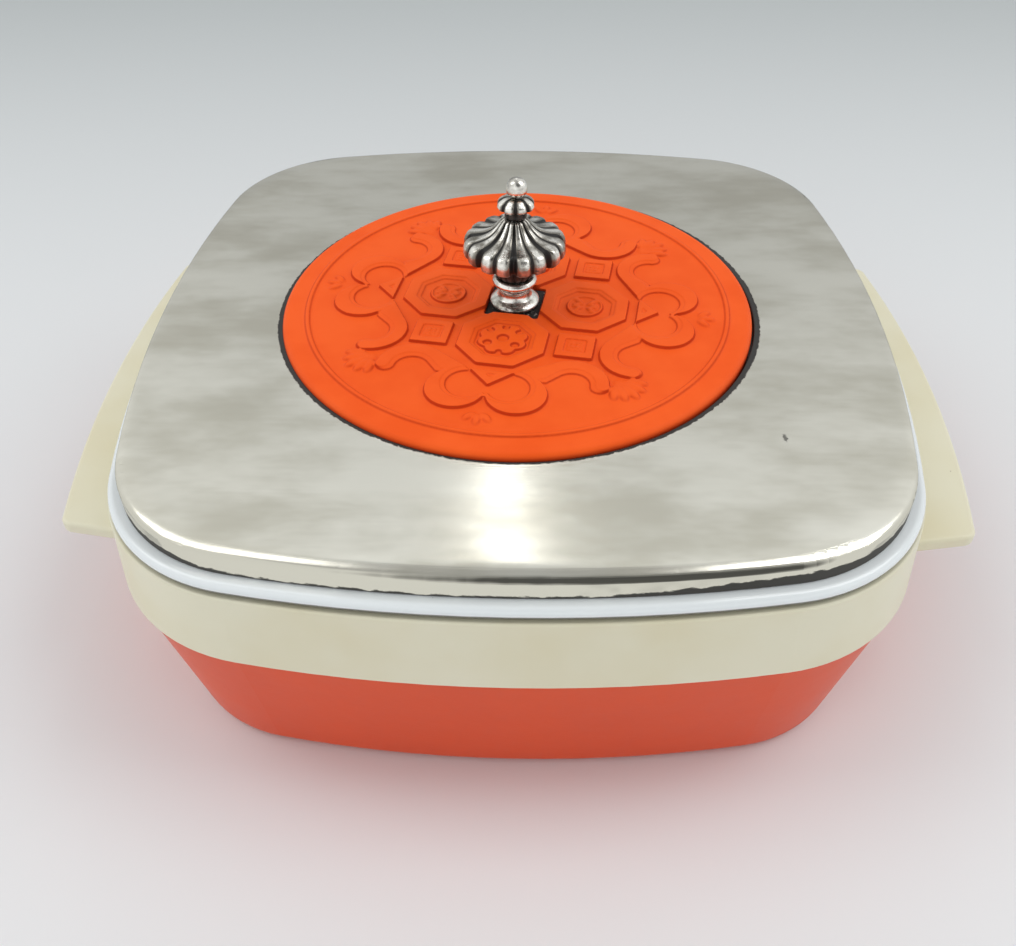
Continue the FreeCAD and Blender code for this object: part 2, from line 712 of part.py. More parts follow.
# -------------------------------------------------------------------------- finial
def make_finial_foot():
    foot = new_piece("finial_foot")
    bore = "stud_radius + seat_gap"
    rim, waist_z = "foot_radius - foot_height / 2", "finial_low + foot_height"
    turned(foot, [
        (bore, "finial_low"),
        (rim, "finial_low", f"foot_height * {HALF_ROUND}", "right"),
        (rim, waist_z),
        ("onion_seat", waist_z, "waist_height", "left"),
        ("onion_seat", "ring_low"),
        (bore, "ring_low")])


def make_finial_ring():
    ring = new_piece("finial_ring")
    bore = "stud_radius + seat_gap"
    turned(ring, [
        (bore, "ring_low"),
        ("onion_seat", "ring_low"),
        ("ring_radius", "ring_low + ring_edge", "ring_round", "right"),
        ("ring_radius - ring_shoulder", "onion_low"),
        (bore, "onion_low")])


def make_finial_body():
    onion = new_piece("finial_body")
    bore = "stud_radius + seat_gap"
    belly_z = "onion_low + belly_height"
    flank, flank_z = "(onion_radius - flank_inset)", f"{belly_z} + flank_height"
    turned(onion, [
        (bore, "onion_low"),
        ("onion_seat", "onion_low", "under_round", "left"),
        ("onion_radius - belly_inset", f"{belly_z} - belly_drop", "belly_round", "right"),
        ("onion_radius", belly_z, "flank_round", "right"),
        (flank, flank_z, "shoulder_round", "right"),
        (f"{flank} - shoulder_inset", f"{flank_z} + shoulder_height", "ogee_radius", "left"),
        ("onion_waist", "crown_low"),
        (bore, "crown_low")])
    flute = new_sketch(onion, height=f"{belly_z} + flute_lift")
    draw_circle(flute, "flute_radius", "onion_radius + flute_rise")
    pivot = "(onion_radius + flute_rise - flute_reach)"
    ends = [FreeCAD.Vector(number(pivot), side * number("flute_reach"), 0) for side in (-1, 1)]
    axis = flute.addGeometry(Part.LineSegment(*ends), True)
    place_point(flute, axis, 1, pivot, "0 - flute_reach")
    place_point(flute, axis, 2, pivot, "flute_reach")
    whole = onion.Tip
    groove = onion.newObject("PartDesign::Groove", "flute")
    groove.Profile = flute
    groove.ReferenceAxis = (flute, ["Axis0"])
    groove.Midplane = True
    groove.Angle = FLUTE_SWEEP
    finish_feature(groove, whole, adds=False)
    around(onion, [groove], FLUTE_COUNT)


def make_finial_crown():
    crown = new_piece("finial_crown")
    tip_bore, bore = "stud_tip_radius + seat_gap", "stud_radius + seat_gap"
    turned(crown, [
        (bore, "crown_low"),
        ("onion_waist - crown_step", "crown_low", "bead_round", "right"),
        ("ball_stem + seat_gap", "crown_low + bead_height"),
        ("ball_stem", "ball_low"),
        (tip_bore, "ball_low"),
        (tip_bore, "stud_step"),
        (bore, "stud_step")])
    notch = pocket(crown, circle(crown, "notch_radius", "ball_low", "crown_radius"), "crown_height")
    around(crown, [notch], BEAD_COUNT)


def make_finial_ball():
    ball = new_piece("finial_ball")
    bore = "stud_tip_radius + seat_gap"
    low, centre = "ball_low + ball_seat", "ball_low + ball_radius"
    seat_radius = "sqrt(ball_seat * (2 * ball_radius - ball_seat))"
    turned(ball, [
        (bore, low),
        (bore, centre),
        ("0", centre),
        ("0", f"{centre} + ball_radius", "ball_radius", "left"),
        (seat_radius, low)])


def make_finial_stud():
    stud = new_piece("finial_stud")
    step = "stud_step - seat_gap"
    tip = "ball_low + ball_radius - seat_gap"
    low = "nut_low - washer_thick"
    turned(stud, [
        ("0", low), ("stud_radius", low), ("stud_radius", step),
        ("stud_tip_radius", step), ("stud_tip_radius", tip), ("0", tip)])


def make_stud_washer():
    washer = new_piece("stud_washer")
    bore, top = "stud_radius + seat_gap", "washer_low + washer_thick"
    turned(washer, [
        (bore, "washer_low"), ("washer_radius", "washer_low"), ("washer_radius", top), (bore, top)])


def make_stud_nut():
    nut = new_piece("stud_nut")
    flat, edge = "nut_across_flats / 2", "(nut_across_flats / sqrt(3))"
    corners = [(edge, "0"), (f"{edge} / 2", flat), (f"0 - {edge} / 2", flat),
               (f"0 - {edge}", "0"), (f"0 - {edge} / 2", f"0 - {flat}"), (f"{edge} / 2", f"0 - {flat}")]
    pad(nut, path(nut, corners, "nut_low"), "nut_thick")
    pocket(nut, circle(nut, "stud_radius + seat_gap", "washer_low"), "nut_thick")


for make in (
        make_outer_bowl, make_filling_plug, make_bowl_insulation, make_handle_collar, make_inner_well,
        make_serving_dish, make_lid_cover, make_joint_bead, make_lid_insulation, make_lid_liner,
        make_lid_filling_plug, make_medallion, make_finial_pad, make_finial_foot, make_finial_ring,
        make_finial_body, make_finial_crown, make_finial_ball, make_finial_stud, make_stud_washer,
        make_stud_nut):
    make()
    print(PIECES[-1].Label, "made")
doc.recompute()

# ------------------------------------------------------------- checks and the files
for item in doc.Objects:
    if "Invalid" in item.State or "Error" in item.State:
        raise RuntimeError(f"{item.Name} did not compute: {item.State}")
for piece in PIECES:
    if piece.Shape.isNull() or not piece.Shape.isValid() or len(piece.Shape.Solids) != 1:
        raise RuntimeError(f"{piece.Label} is not one valid solid")
os.makedirs("parts", exist_ok=True)
for piece in PIECES:
    piece.Shape.exportStep(f"parts/{piece.Label}.step")
    box = piece.Shape.BoundBox
    print(f"{piece.Label:18s} {piece.Shape.Volume / 1000:9.2f} cm3  z {box.ZMin:7.2f} to {box.ZMax:7.2f}")
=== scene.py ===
# %% [markdown]
# # An insulated serving casserole
# The casserole is a square server with a foam-filled bowl, a lift-out glazed dish and a
# metal lid that carries an orange ornament disc and a fluted finial. The construction
# pieces already exist at their real size. This lesson gives every surface its finish and
# models the pieces whose beauty is in soft or carved detail.

# %% Load the construction pieces
import math
import bmesh
import bpy
from mathutils import Matrix, Vector


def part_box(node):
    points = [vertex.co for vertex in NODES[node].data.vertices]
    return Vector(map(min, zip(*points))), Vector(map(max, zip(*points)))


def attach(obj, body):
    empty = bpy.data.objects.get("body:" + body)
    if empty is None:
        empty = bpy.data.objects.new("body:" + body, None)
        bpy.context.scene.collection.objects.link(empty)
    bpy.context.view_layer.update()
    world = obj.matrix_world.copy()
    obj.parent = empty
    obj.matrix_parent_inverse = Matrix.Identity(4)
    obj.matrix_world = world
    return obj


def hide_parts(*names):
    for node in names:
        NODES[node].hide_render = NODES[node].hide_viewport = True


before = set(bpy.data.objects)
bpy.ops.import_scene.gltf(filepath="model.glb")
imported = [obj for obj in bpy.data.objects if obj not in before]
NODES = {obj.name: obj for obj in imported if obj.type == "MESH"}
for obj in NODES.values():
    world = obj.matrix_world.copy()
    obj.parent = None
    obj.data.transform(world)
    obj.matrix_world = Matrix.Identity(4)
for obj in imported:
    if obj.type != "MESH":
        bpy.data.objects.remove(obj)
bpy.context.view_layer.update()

MM = 0.001
print("construction pieces:", len(NODES))

# %% [markdown]
# ## The camera
# The lid is seen from the front and well above, from close by, so near edges look larger
# than far ones. A camera could be moved until it looks right. Here it is placed by a few
# numbers that are easy to note down and repeat: a point that it aims near, a distance, a
# tilt and a lens.

# %% Camera
TILT, TURN, ROLL = math.radians(42.73), math.radians(1.98), math.radians(-0.56)
AIM = Vector((0, 0, 0.060))
DISTANCE = 0.36068
SLIDE_RIGHT, SLIDE_UP = -0.0037, -0.03087
FOCAL_PIXELS, FRAME_WIDTH = 1013.4, 1016
SENSOR = 36.0


def make_camera():
    back = Vector((math.sin(TURN) * math.cos(TILT), -math.cos(TURN) * math.cos(TILT), math.sin(TILT)))
    level_right = (-back).cross(Vector((0, 0, 1))).normalized()
    level_up = level_right.cross(-back)
    right = math.cos(ROLL) * level_right + math.sin(ROLL) * level_up
    up = math.cos(ROLL) * level_up - math.sin(ROLL) * level_right
    camera = bpy.data.objects.new("camera", bpy.data.cameras.new("camera"))
    bpy.context.scene.collection.objects.link(camera)
    camera.data.sensor_width = SENSOR
    camera.data.lens = SENSOR * FOCAL_PIXELS / FRAME_WIDTH
    camera.data.clip_start = 0.01
    spot = AIM + back * DISTANCE + right * SLIDE_RIGHT + up * SLIDE_UP
    turn = Matrix((right, up, back)).transposed().to_4x4()
    camera.matrix_world = Matrix.Translation(spot) @ turn
    bpy.context.scene.camera = camera
    return camera


camera = make_camera()
print("camera at", [round(value, 3) for value in camera.location])

# %% [markdown]
# ## Writing shader maths as Python
# A finish is easier to read as an expression, such as 1 - wear * 0.3, than as a web of
# nodes. One small class wraps a node's output, and its operators add Math nodes. A second
# class holds the material and has one method that adds any other node.

# %% A wire
class Wire:
    """A node's output; arithmetic on it adds Math nodes."""

    def __init__(self, finish, socket):
        self.finish, self.socket = finish, socket

    def math(self, operation, *values):
        return self.finish.add("Math", {"operation": operation}, dict(enumerate(values)))

    def __add__(self, other):
        return self.math("ADD", self, other)

    def __sub__(self, other):
        return self.math("SUBTRACT", self, other)

    def __rsub__(self, other):
        return self.math("SUBTRACT", other, self)

    def __mul__(self, other):
        return self.math("MULTIPLY", self, other)

    __radd__, __rmul__ = __add__, __mul__

    def power(self, exponent):
        return self.math("POWER", self, exponent)

    def larger(self, other):
        return self.math("MAXIMUM", self, other)


# %% A finish
class Finish:
    """A material with one Principled shader."""

    def __init__(self, name, **constants):
        self.material = bpy.data.materials.new(name)
        self.material.use_nodes = True
        self.tree = self.material.node_tree
        self.shader = self.tree.nodes["Principled BSDF"]
        for socket, value in constants.items():
            self.shader.inputs[socket.replace("_", " ")].default_value = value

    def feed(self, socket, value):
        if isinstance(value, Wire):
            self.tree.links.new(value.socket, socket)
        else:
            socket.default_value = value

    def add(self, kind, settings, inputs, output=0):
        """Adds a node, sets it up, feeds its sockets, and gives the named or counted output."""
        node = self.tree.nodes.new("ShaderNode" + kind)
        for setting, value in settings.items():
            setattr(node, setting, value)
        for socket, value in inputs.items():
            self.feed(node.inputs[socket], value)
        return Wire(self, node.outputs[output])

    def paint(self, **sockets):
        """Feeds the shader's own sockets."""
        for socket, value in sockets.items():
            self.feed(self.shader.inputs[socket.replace("_", " ")], value)

    def place(self, stretch=(1, 1, 1)):
        """The place on the piece in millimetres, stretched along each axis."""
        spot = self.add("TexCoord", {}, {}, "Object")
        scale = tuple(factor / MM for factor in stretch)
        return self.add("VectorMath", {"operation": "MULTIPLY"}, {0: spot, 1: scale})

    def axes(self):
        """The place's X, Y and Z in millimetres."""
        node = self.add("SeparateXYZ", {}, {0: self.place()}).socket.node
        return [Wire(self, socket) for socket in node.outputs]

    def facing_up(self):
        """The upright part of the surface's normal: 1 on a level top, 0 on a wall."""
        return self.add("SeparateXYZ", {}, {0: self.add("TexCoord", {}, {}, "Normal")}, "Z")

    def noise(self, size, detail=3.0, roughness=0.5, stretch=(1, 1, 1)):
        """Cloudy noise from 0 to 1 whose lumps are about size mm across."""
        inputs = {"Vector": self.place(stretch), "Scale": 1 / size, "Detail": detail,
                  "Roughness": roughness}
        return self.add("TexNoise", {}, inputs)

    def ramp(self, value, low, high, start=0.0, end=1.0):
        """Start below low, end above high, and a smooth change between."""
        inputs = {"Value": value, "From Min": low, "From Max": high, "To Min": start, "To Max": end}
        return self.add("MapRange", {"interpolation_type": "SMOOTHSTEP"}, inputs)

    def blend(self, mask, under, over):
        """A colour between two."""
        return self.add("Mix", {"data_type": "RGBA"}, {0: mask, 6: under, 7: over}, 2)

    def bump(self, height, depth, under=None):
        """A bump of height times depth in mm, on top of another."""
        inputs = {"Height": height, "Distance": depth * MM, "Strength": 1.0}
        if under is not None:
            inputs["Normal"] = under
        return self.add("Bump", {}, inputs)


def wear(node_name, finish):
    """Gives a construction piece its finish."""
    slots = NODES[node_name].data.materials
    slots.clear()
    slots.append(finish.material)


# %% [markdown]
# ## Orange moulded plastic
# The bowl is a thick, satin moulding. It could be one flat orange, but a moulding has a
# faint ripple from the tool, a soft orange-peel skin and scuffs from the table near its
# foot, so these drive the colour, the roughness and a shallow bump.

# %% Orange plastic
ORANGE = (0.81, 0.080, 0.009, 1)
ORANGE_DEEP = (0.71, 0.062, 0.007, 1)
SCUFF_PALE = (0.93, 0.36, 0.24, 1)


def make_orange_plastic():
    finish = Finish("orange_plastic", IOR=1.49, Specular_IOR_Level=0.35)
    cloud = finish.noise(26, 4)
    peel = finish.noise(0.9, 2)
    scratch = finish.noise(1.6, 5, 0.7, (0.25, 0.25, 6))
    _, _, height = finish.axes()
    near_foot = finish.ramp(height, 1.0, 14.0, 1.0, 0.0)
    scuff = finish.ramp(scratch, 0.60, 0.72) * (near_foot * 0.5 + 0.08)
    colour = finish.blend(cloud, ORANGE_DEEP, ORANGE)
    finish.paint(
        Base_Color=finish.blend(scuff, colour, SCUFF_PALE),
        Roughness=0.30 + cloud * 0.12 + scuff * 0.3,
        Normal=finish.bump(peel, 0.012, finish.bump(cloud, 0.25)))
    return finish


orange_plastic = make_orange_plastic()
wear("outer_bowl", orange_plastic)
wear("filling_plug", orange_plastic)
print("orange plastic on the bowl")

# %% [markdown]
# ## Cream plastic
# The collar and its wings are one cream moulding, a little yellowed where hands take
# hold. A warm tint that drifts slowly over the piece, and small dark specks and rubs,
# keep it from looking like new paint.

# %% Cream plastic
CREAM = (0.82, 0.78, 0.60, 1)
CREAM_WARM = (0.78, 0.72, 0.51, 1)
RUB_DARK = (0.28, 0.18, 0.12, 1)


def make_cream_plastic():
    finish = Finish("cream_plastic", IOR=1.49, Coat_Weight=0.1)
    drift = finish.noise(45, 3)
    peel = finish.noise(0.8, 2)
    fleck = finish.ramp(finish.noise(2.4, 4, 0.6, (1, 1, 0.6)), 0.73, 0.78)
    rub = fleck * finish.ramp(finish.noise(30, 2), 0.52, 0.66)
    colour = finish.blend(finish.ramp(drift, 0.35, 0.7), CREAM, CREAM_WARM)
    finish.paint(
        Base_Color=finish.blend(rub, colour, RUB_DARK),
        Roughness=0.34 + drift * 0.12 + rub * 0.2,
        Normal=finish.bump(peel, 0.010, finish.bump(drift, 0.3)))
    return finish


cream_plastic = make_cream_plastic()
wear("handle_collar", cream_plastic)
print("cream plastic on the collar")

# %% [markdown]
# ## White glaze
# The dish is glazed white, cold against the cream. Glaze pools and thins, so its gloss
# sits on a very slow ripple, with a few pin-sized specks of grit, and a dark line of
# painted shade goes under the rim where it meets the collar.

# %% White glaze
GLAZE = (0.86, 0.90, 0.91, 1)
GRIT_AND_SHADE = (0.10, 0.10, 0.09, 1)
RIM_HEIGHT = 4.2
RIM_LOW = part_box("serving_dish")[1].z / MM - RIM_HEIGHT


def make_white_glaze():
    finish = Finish("white_glaze", IOR=1.52, Coat_Weight=0.6, Coat_Roughness=0.04)
    ripple = finish.noise(16, 2)
    speck = finish.ramp(finish.noise(1.1, 2), 0.80, 0.84)
    _, _, height = finish.axes()
    # Painted shade: a dark line on the downward faces under the rim, where it meets the collar.
    crease = finish.ramp(height, RIM_LOW + 1.6, RIM_LOW + 2.1, 0.95, 0.0)
    crease = crease * finish.ramp(height, RIM_LOW - 0.9, RIM_LOW - 0.3)
    crease = crease * finish.ramp(finish.facing_up(), -0.12, -0.02, 1.0, 0.0)
    finish.paint(
        Base_Color=finish.blend(speck.larger(crease), GLAZE, GRIT_AND_SHADE),
        Roughness=0.10 + ripple * 0.06,
        Normal=finish.bump(ripple, 0.15))
    return finish


wear("serving_dish", make_white_glaze())
print("glaze on the dish")

# %% [markdown]
# ## Silver plate
# The lid's sheet has been rubbed with a cloth for years, always from side to side. The
# rubbing leaves fine lines along X that smear each highlight across them, and cloudy
# patches of tarnish. The cloth slipped off the roll round the edge, which stays nearly as
# smooth as a mirror; the roll and the skirt are painted greyer, as painted shade. Real
# grooves would need millions of faces, so the lines are a bump. The sheet was also pressed
# over a rounded edge. That long, soft fall and the flare of the skirt are only tenths of a
# millimetre, so a bump tilts the reflections there too.

# %% The lid's plan
SKIRT_LOW, LID_TOP = (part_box("lid_cover")[side].z / MM for side in (0, 1))
LID_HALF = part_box("lid_cover")[1].x / MM
PLAN_POWER = 3.8
ROLL_REACH, ROLL_DROP, SKIRT_FLARE = 8.0, 0.0021, 0.62


def rolled_edge(finish, across, along, height):
    """How far the sheet falls away towards its edge, and flares out down its skirt, in mm,
    and a mask of the edge."""
    wide = across.math("ABSOLUTE", across).power(PLAN_POWER)
    deep = along.math("ABSOLUTE", along).power(PLAN_POWER)
    inside = LID_HALF - (wide + deep).power(1 / PLAN_POWER)
    near_edge = (ROLL_REACH - inside).larger(0.0)
    fall = (LID_TOP - height) * SKIRT_FLARE - near_edge.power(3) * ROLL_DROP
    return fall, finish.ramp(near_edge, ROLL_REACH * 0.6, ROLL_REACH)


print("lid half width", round(LID_HALF, 1), "top", round(LID_TOP, 1), "skirt", round(SKIRT_LOW, 1))

# %% [markdown]
# Black goes in three places: sealant that crept out from under the disc, further at the
# sides and behind; painted shade low on the skirt, highest at the front corners; and one
# small nick. Each is a mask from the place on the lid, frayed by noise, so it needs no painted image.

# %% Where the lid is black
PAN_RADIUS = 80.0
SEAL_FRONT, SEAL_SIDE, SEAL_BACK = 78.0, 79.1, 0.8
CREASE_RIGHT, CREASE_LEFT = 2.8, 1.5
NICK, NICK_SLENDER = (77.2, -65.3), 0.45


def smeared(finish, across, along, height):
    """Sealant inside a ragged circle round the disc."""
    radius = (across.power(2) + along.power(2)).power(0.5)
    sideways = (across * (1 / PAN_RADIUS)).power(2)
    backward = finish.ramp(along, 20, 70, 0.0, SEAL_BACK)
    ragged = radius + (finish.noise(1.6, 4, 0.7) - 0.5) * 1.5
    edge = sideways * (SEAL_SIDE - SEAL_FRONT) + SEAL_FRONT + backward
    above = finish.ramp(height, LID_TOP - 4, LID_TOP - 3)
    return finish.ramp(ragged - edge, 0.0, 0.35, 1.0, 0.0) * above


def skirt_shade(finish, across, height):
    """Black painted shade in the crease under the skirt."""
    right = finish.ramp(across, 15, 80, 0.0, CREASE_RIGHT)
    left = finish.ramp(across, -95, -70, CREASE_LEFT, 0.0)
    ragged = height - (right + left) + (0.5 - finish.noise(5, 4, 0.6, (1, 1, 2))) * 3.0
    return finish.ramp(ragged, SKIRT_LOW + 0.4, SKIRT_LOW + 0.9, 0.95, 0.0)


def nicked(finish, across, along):
    """A nick, longer than it is wide."""
    slender = (along - NICK[1]) * NICK_SLENDER
    away = ((across - NICK[0]).power(2) + slender.power(2)).power(0.5)
    ragged = away + (finish.noise(1.0, 2) - 0.5) * 1.2
    return finish.ramp(ragged, 0.5, 0.9, 0.8, 0.0)


print("sealant reaches", SEAL_FRONT, "to", SEAL_SIDE, "mm from the axis")

# %% Silver plate
SILVER = (0.83, 0.81, 0.72, 1)
SILVER_DULL_AND_SHADE = (0.61, 0.585, 0.495, 1)
BLACK_AND_SHADE = (0.02, 0.018, 0.015, 1)


def make_silver_plate(name):
    """Rubbed silver, patchy and brushed on its top, smoother on its roll and skirt and painted
    greyer there as shade, with sealant, a nick and painted shade low on the skirt in black."""
    finish = Finish(name, Metallic=1.0)
    across, along, height = finish.axes()
    cloud = finish.noise(30, 4, 0.55, (0.55, 1, 1))
    blotch = finish.noise(11, 3, 0.5, (0.4, 1, 1))
    lines = finish.noise(1.0, 3, 0.6, (0.012, 2.0, 2.0))
    hairs = finish.noise(1.0, 3, 0.6, (0.010, 0.9, 0.9))
    flat = finish.ramp(height, LID_TOP - 1.6, LID_TOP - 0.3)
    # Black for the sealant, the nick, and the painted shade low on the skirt.
    sealant_nick_and_shade = smeared(finish, across, along, height).larger(skirt_shade(finish, across, height))
    sealant_nick_and_shade = sealant_nick_and_shade.larger(nicked(finish, across, along))
    dull = finish.ramp(cloud * 0.6 + blotch * 0.4, 0.36, 0.66)
    # The roll and the skirt take 0.85 of the dull colour: painted shade.
    colour = finish.blend(dull * flat + 0.85 * (1 - flat), SILVER, SILVER_DULL_AND_SHADE)
    brushed = 0.14 + dull * 0.04 + hairs * 0.05
    fall, near_edge = rolled_edge(finish, across, along, height)
    wave = finish.bump(finish.noise(15, 2) * near_edge, 0.35, finish.bump(fall, 1.0))
    finish.paint(
        Base_Color=finish.blend(sealant_nick_and_shade, colour, BLACK_AND_SHADE),
        Metallic=1 - sealant_nick_and_shade,
        Roughness=0.07 * (1 - flat) + brushed * flat + sealant_nick_and_shade * 0.3,
        Normal=finish.bump(lines * flat, 0.012, finish.bump(cloud * flat, 0.025, wave)))
    return finish


wear("lid_cover", make_silver_plate("silver_plate"))
print("silver plate on the lid cover")

# %% [markdown]
# ## Hidden finishes
# The well, the liner, the foam, the sealant and the tie rod show only when the casserole
# is opened or turned over. They still get the look of what they are: rough foam has
# cells, sealant has lumps, and a turned rod has fine rings.

# %% Well plastic and foam
WELL_PALE, WELL_GREY = (0.80, 0.79, 0.74, 1), (0.70, 0.68, 0.61, 1)
FOAM_YELLOW, FOAM_BROWN = (0.83, 0.74, 0.47, 1), (0.70, 0.58, 0.33, 1)
FOAM_CELL = 1.4


def make_well_plastic():
    finish = Finish("well_plastic", IOR=1.49)
    cloud = finish.noise(35, 3)
    finish.paint(
        Base_Color=finish.blend(cloud, WELL_PALE, WELL_GREY),
        Roughness=0.36 + cloud * 0.15,
        Normal=finish.bump(finish.noise(0.9, 2), 0.012, finish.bump(cloud, 0.2)))
    return finish


def make_foam():
    finish = Finish("foam")
    cells = finish.add("TexVoronoi", {}, {"Vector": finish.place(), "Scale": 1 / FOAM_CELL})
    finish.paint(
        Base_Color=finish.blend(cells, FOAM_YELLOW, FOAM_BROWN),
        Roughness=0.85 + cells * 0.1,
        Normal=finish.bump(cells, 0.25))
    return finish


well_plastic, foam = make_well_plastic(), make_foam()
for name in ("inner_well", "lid_liner", "lid_filling_plug"):
    wear(name, well_plastic)
for name in ("bowl_insulation", "lid_insulation"):
    wear(name, foam)
print("well plastic and foam done")

# %% Sealant and steel
RUBBER_BLACK, RUBBER_ASH = (0.012, 0.011, 0.010, 1), (0.35, 0.33, 0.30, 1)
STEEL, STEEL_WORN = (0.56, 0.56, 0.57, 1), (0.42, 0.42, 0.42, 1)


def make_sealant():
    finish = Finish("black_sealant")
    lump = finish.noise(1.4, 5, 0.65)
    ash = finish.ramp(finish.noise(1.1, 3), 0.63, 0.70)
    finish.paint(
        Base_Color=finish.blend(ash, RUBBER_BLACK, RUBBER_ASH),
        Roughness=0.45 + lump * 0.4,
        Normal=finish.bump(lump, 0.35))
    return finish


def make_steel():
    finish = Finish("steel_hardware", Metallic=1.0)
    rings = finish.noise(1.0, 3, 0.6, (0.4, 0.4, 8))
    finish.paint(
        Base_Color=finish.blend(rings, STEEL, STEEL_WORN),
        Roughness=0.25 + rings * 0.2,
        Normal=finish.bump(rings, 0.02))
    return finish


sealant, steel = make_sealant(), make_steel()
for name in ("joint_bead", "finial_pad"):
    wear(name, sealant)
for name in ("finial_stud", "stud_washer", "stud_nut"):
    wear(name, steel)
print("sealant and steel done")

# %% [markdown]
# ## Working as by hand
# Every new piece starts as a primitive and is shaped in edit mode. An operator acts on
# whatever is selected, so the helpers first deselect everything, and pick what they need
# by its place. The finished piece keeps its object at the origin, with its place in its
# mesh, as the construction pieces do.

# %% Edit-mode helpers
def begin(add, **settings):
    """Adds a primitive with nothing else selected and opens it in edit mode."""
    bpy.ops.object.select_all(action="DESELECT")
    add(**settings)
    bpy.ops.object.mode_set(mode="EDIT")
    bpy.ops.mesh.select_all(action="SELECT")


def end(name):
    """Turns the normals outwards, leaves edit mode and moves the place into the mesh."""
    bpy.ops.mesh.select_all(action="SELECT")
    bpy.ops.mesh.normals_make_consistent(inside=False)
    bpy.ops.object.mode_set(mode="OBJECT")
    bpy.ops.object.transform_apply(location=True, rotation=True, scale=True)
    bpy.context.object.name = name
    return bpy.context.object


def choose(test):
    """Selects the points of the open mesh for which a test on their place is true."""
    bpy.ops.mesh.select_mode(type="VERT")
    bpy.ops.mesh.select_all(action="DESELECT")
    mesh = bmesh.from_edit_mesh(bpy.context.object.data)
    for point in mesh.verts:
        point.select = test(point.co)
    mesh.select_flush_mode()
    bmesh.update_edit_mesh(bpy.context.object.data)


def raise_by(height):
    bpy.ops.mesh.extrude_region_move(TRANSFORM_OT_translate={"value": (0, 0, height * MM)})


# %% Whole-piece helpers
def modify(piece, kind, **settings):
    """Adds a modifier, sets it up and applies it."""
    bpy.context.view_layer.objects.active = piece
    modifier = piece.modifiers.new(kind.title(), kind)
    for setting, value in settings.items():
        setattr(modifier, setting, value)
    bpy.ops.object.modifier_apply(modifier=modifier.name)


def join(pieces):
    bpy.ops.object.select_all(action="DESELECT")
    for piece in pieces:
        piece.select_set(True)
    bpy.context.view_layer.objects.active = pieces[0]
    bpy.ops.object.join()
    return pieces[0]


def cut(piece, tool):
    modify(piece, "BOOLEAN", operation="DIFFERENCE", object=tool, use_self=True)
    bpy.data.objects.remove(tool)


def copy(piece, turn=0.0, mirror=False):
    """A copy with its own mesh, mirrored across X or turned about Z by so many degrees."""
    twin = piece.copy()
    twin.data = piece.data.copy()
    bpy.context.scene.collection.objects.link(twin)
    bpy.ops.object.select_all(action="DESELECT")
    twin.select_set(True)
    bpy.context.view_layer.objects.active = twin
    twin.rotation_euler.z = math.radians(turn)
    twin.scale.x = -1 if mirror else 1
    bpy.ops.object.transform_apply(location=True, rotation=True, scale=True)
    if mirror:
        bpy.ops.object.mode_set(mode="EDIT")
        bpy.ops.mesh.select_all(action="SELECT")
        bpy.ops.mesh.normals_make_consistent(inside=False)
        bpy.ops.object.mode_set(mode="OBJECT")
    return twin


def dress(piece, finish, body, slot, *nodes):
    """Gives a finished piece its material and the body that it moves with, and hides the construction
    pieces that it replaces.
    """
    piece.data.materials.clear()
    piece.data.materials.append(finish.material)
    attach(piece, body)
    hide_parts(*nodes)
    print(piece.name, "has", len(piece.data.polygons), "faces")


# %% [markdown]
# ## Antique silver
# The finial is cast, silvered, blackened and wiped, so its grooves stay black. Beside them
# the silver is painted dull, as painted shade on the flanks of the ribs, which leaves the
# crests bright. The black could be painted on by hand. Here it follows the form: the
# grooves lie at even bearings round the axis, so the bearing of a point says how near it
# is to one, and a little noise frays the edge where the cloth missed.

# %% Antique silver
PEWTER = (0.96, 0.93, 0.86, 1)
PEWTER_DULL_AND_SHADE = (0.24, 0.22, 0.185, 1)
BLACKING_AND_SHADE = (0.012, 0.010, 0.008, 1)
FLANK = 0.15


def make_antique_silver(name, lean=0.0, grooves=(), shade_low=0.0, shade_high=0.0):
    """Silver about an axis at X = lean, black below shade_low, as blacking and painted shade
    under the piece, and plain above shade_high. Each of grooves is (how many, black out to this
    share of their spacing, silver from that share), and the silver is painted dull for another
    FLANK beside them, as painted shade on the flanks of the ribs."""
    finish = Finish(name, Metallic=1.0)
    across, along, height = finish.axes()
    cloud = finish.noise(2.4, 5, 0.65)
    black = finish.ramp(cloud, 0.56, 0.72) * 0.8
    flank = finish.ramp(finish.noise(5, 4), 0.40, 0.70)
    if grooves:
        bearing = finish.add("Math", {"operation": "ARCTAN2"}, {0: across - lean, 1: along})
        for count, clear, edge in grooves:
            wave = bearing * (count / (2 * math.pi)) + 0.5
            part = wave.math("FRACT", wave) - 0.5
            near = part.math("ABSOLUTE", part) + (cloud - 0.5) * 0.05
            # Beside each groove the flank is painted dull: painted shade.
            black = black.larger(finish.ramp(near, clear, edge, 1.0, 0.0))
            flank = flank.larger(finish.ramp(near, edge, edge + FLANK, 0.95, 0.0))
    # Below shade_low: black, partly blacking and partly painted shade.
    if shade_high:
        frayed = height + (cloud - 0.5) * 8.0
        black = black.larger(finish.ramp(frayed, shade_low, shade_high, 0.95, 0.0))
    colour = finish.blend(flank, PEWTER, PEWTER_DULL_AND_SHADE)
    finish.paint(
        Base_Color=finish.blend(black, colour, BLACKING_AND_SHADE),
        Metallic=1 - black * 0.8,
        Roughness=0.18 + cloud * 0.16 + black * 0.25,
        Normal=finish.bump(finish.noise(1.1, 3), 0.09))
    return finish


# %% [markdown]
# ## Turned pieces
# The finial's parts are turned or cast round one axis. A spun profile would do, but a
# stack of rings, each extruded from the last and resized, keeps every ring in reach for
# the fluting that follows. A profile is a few stations joined by bows, so its curves are
# named by their ends and their swell.

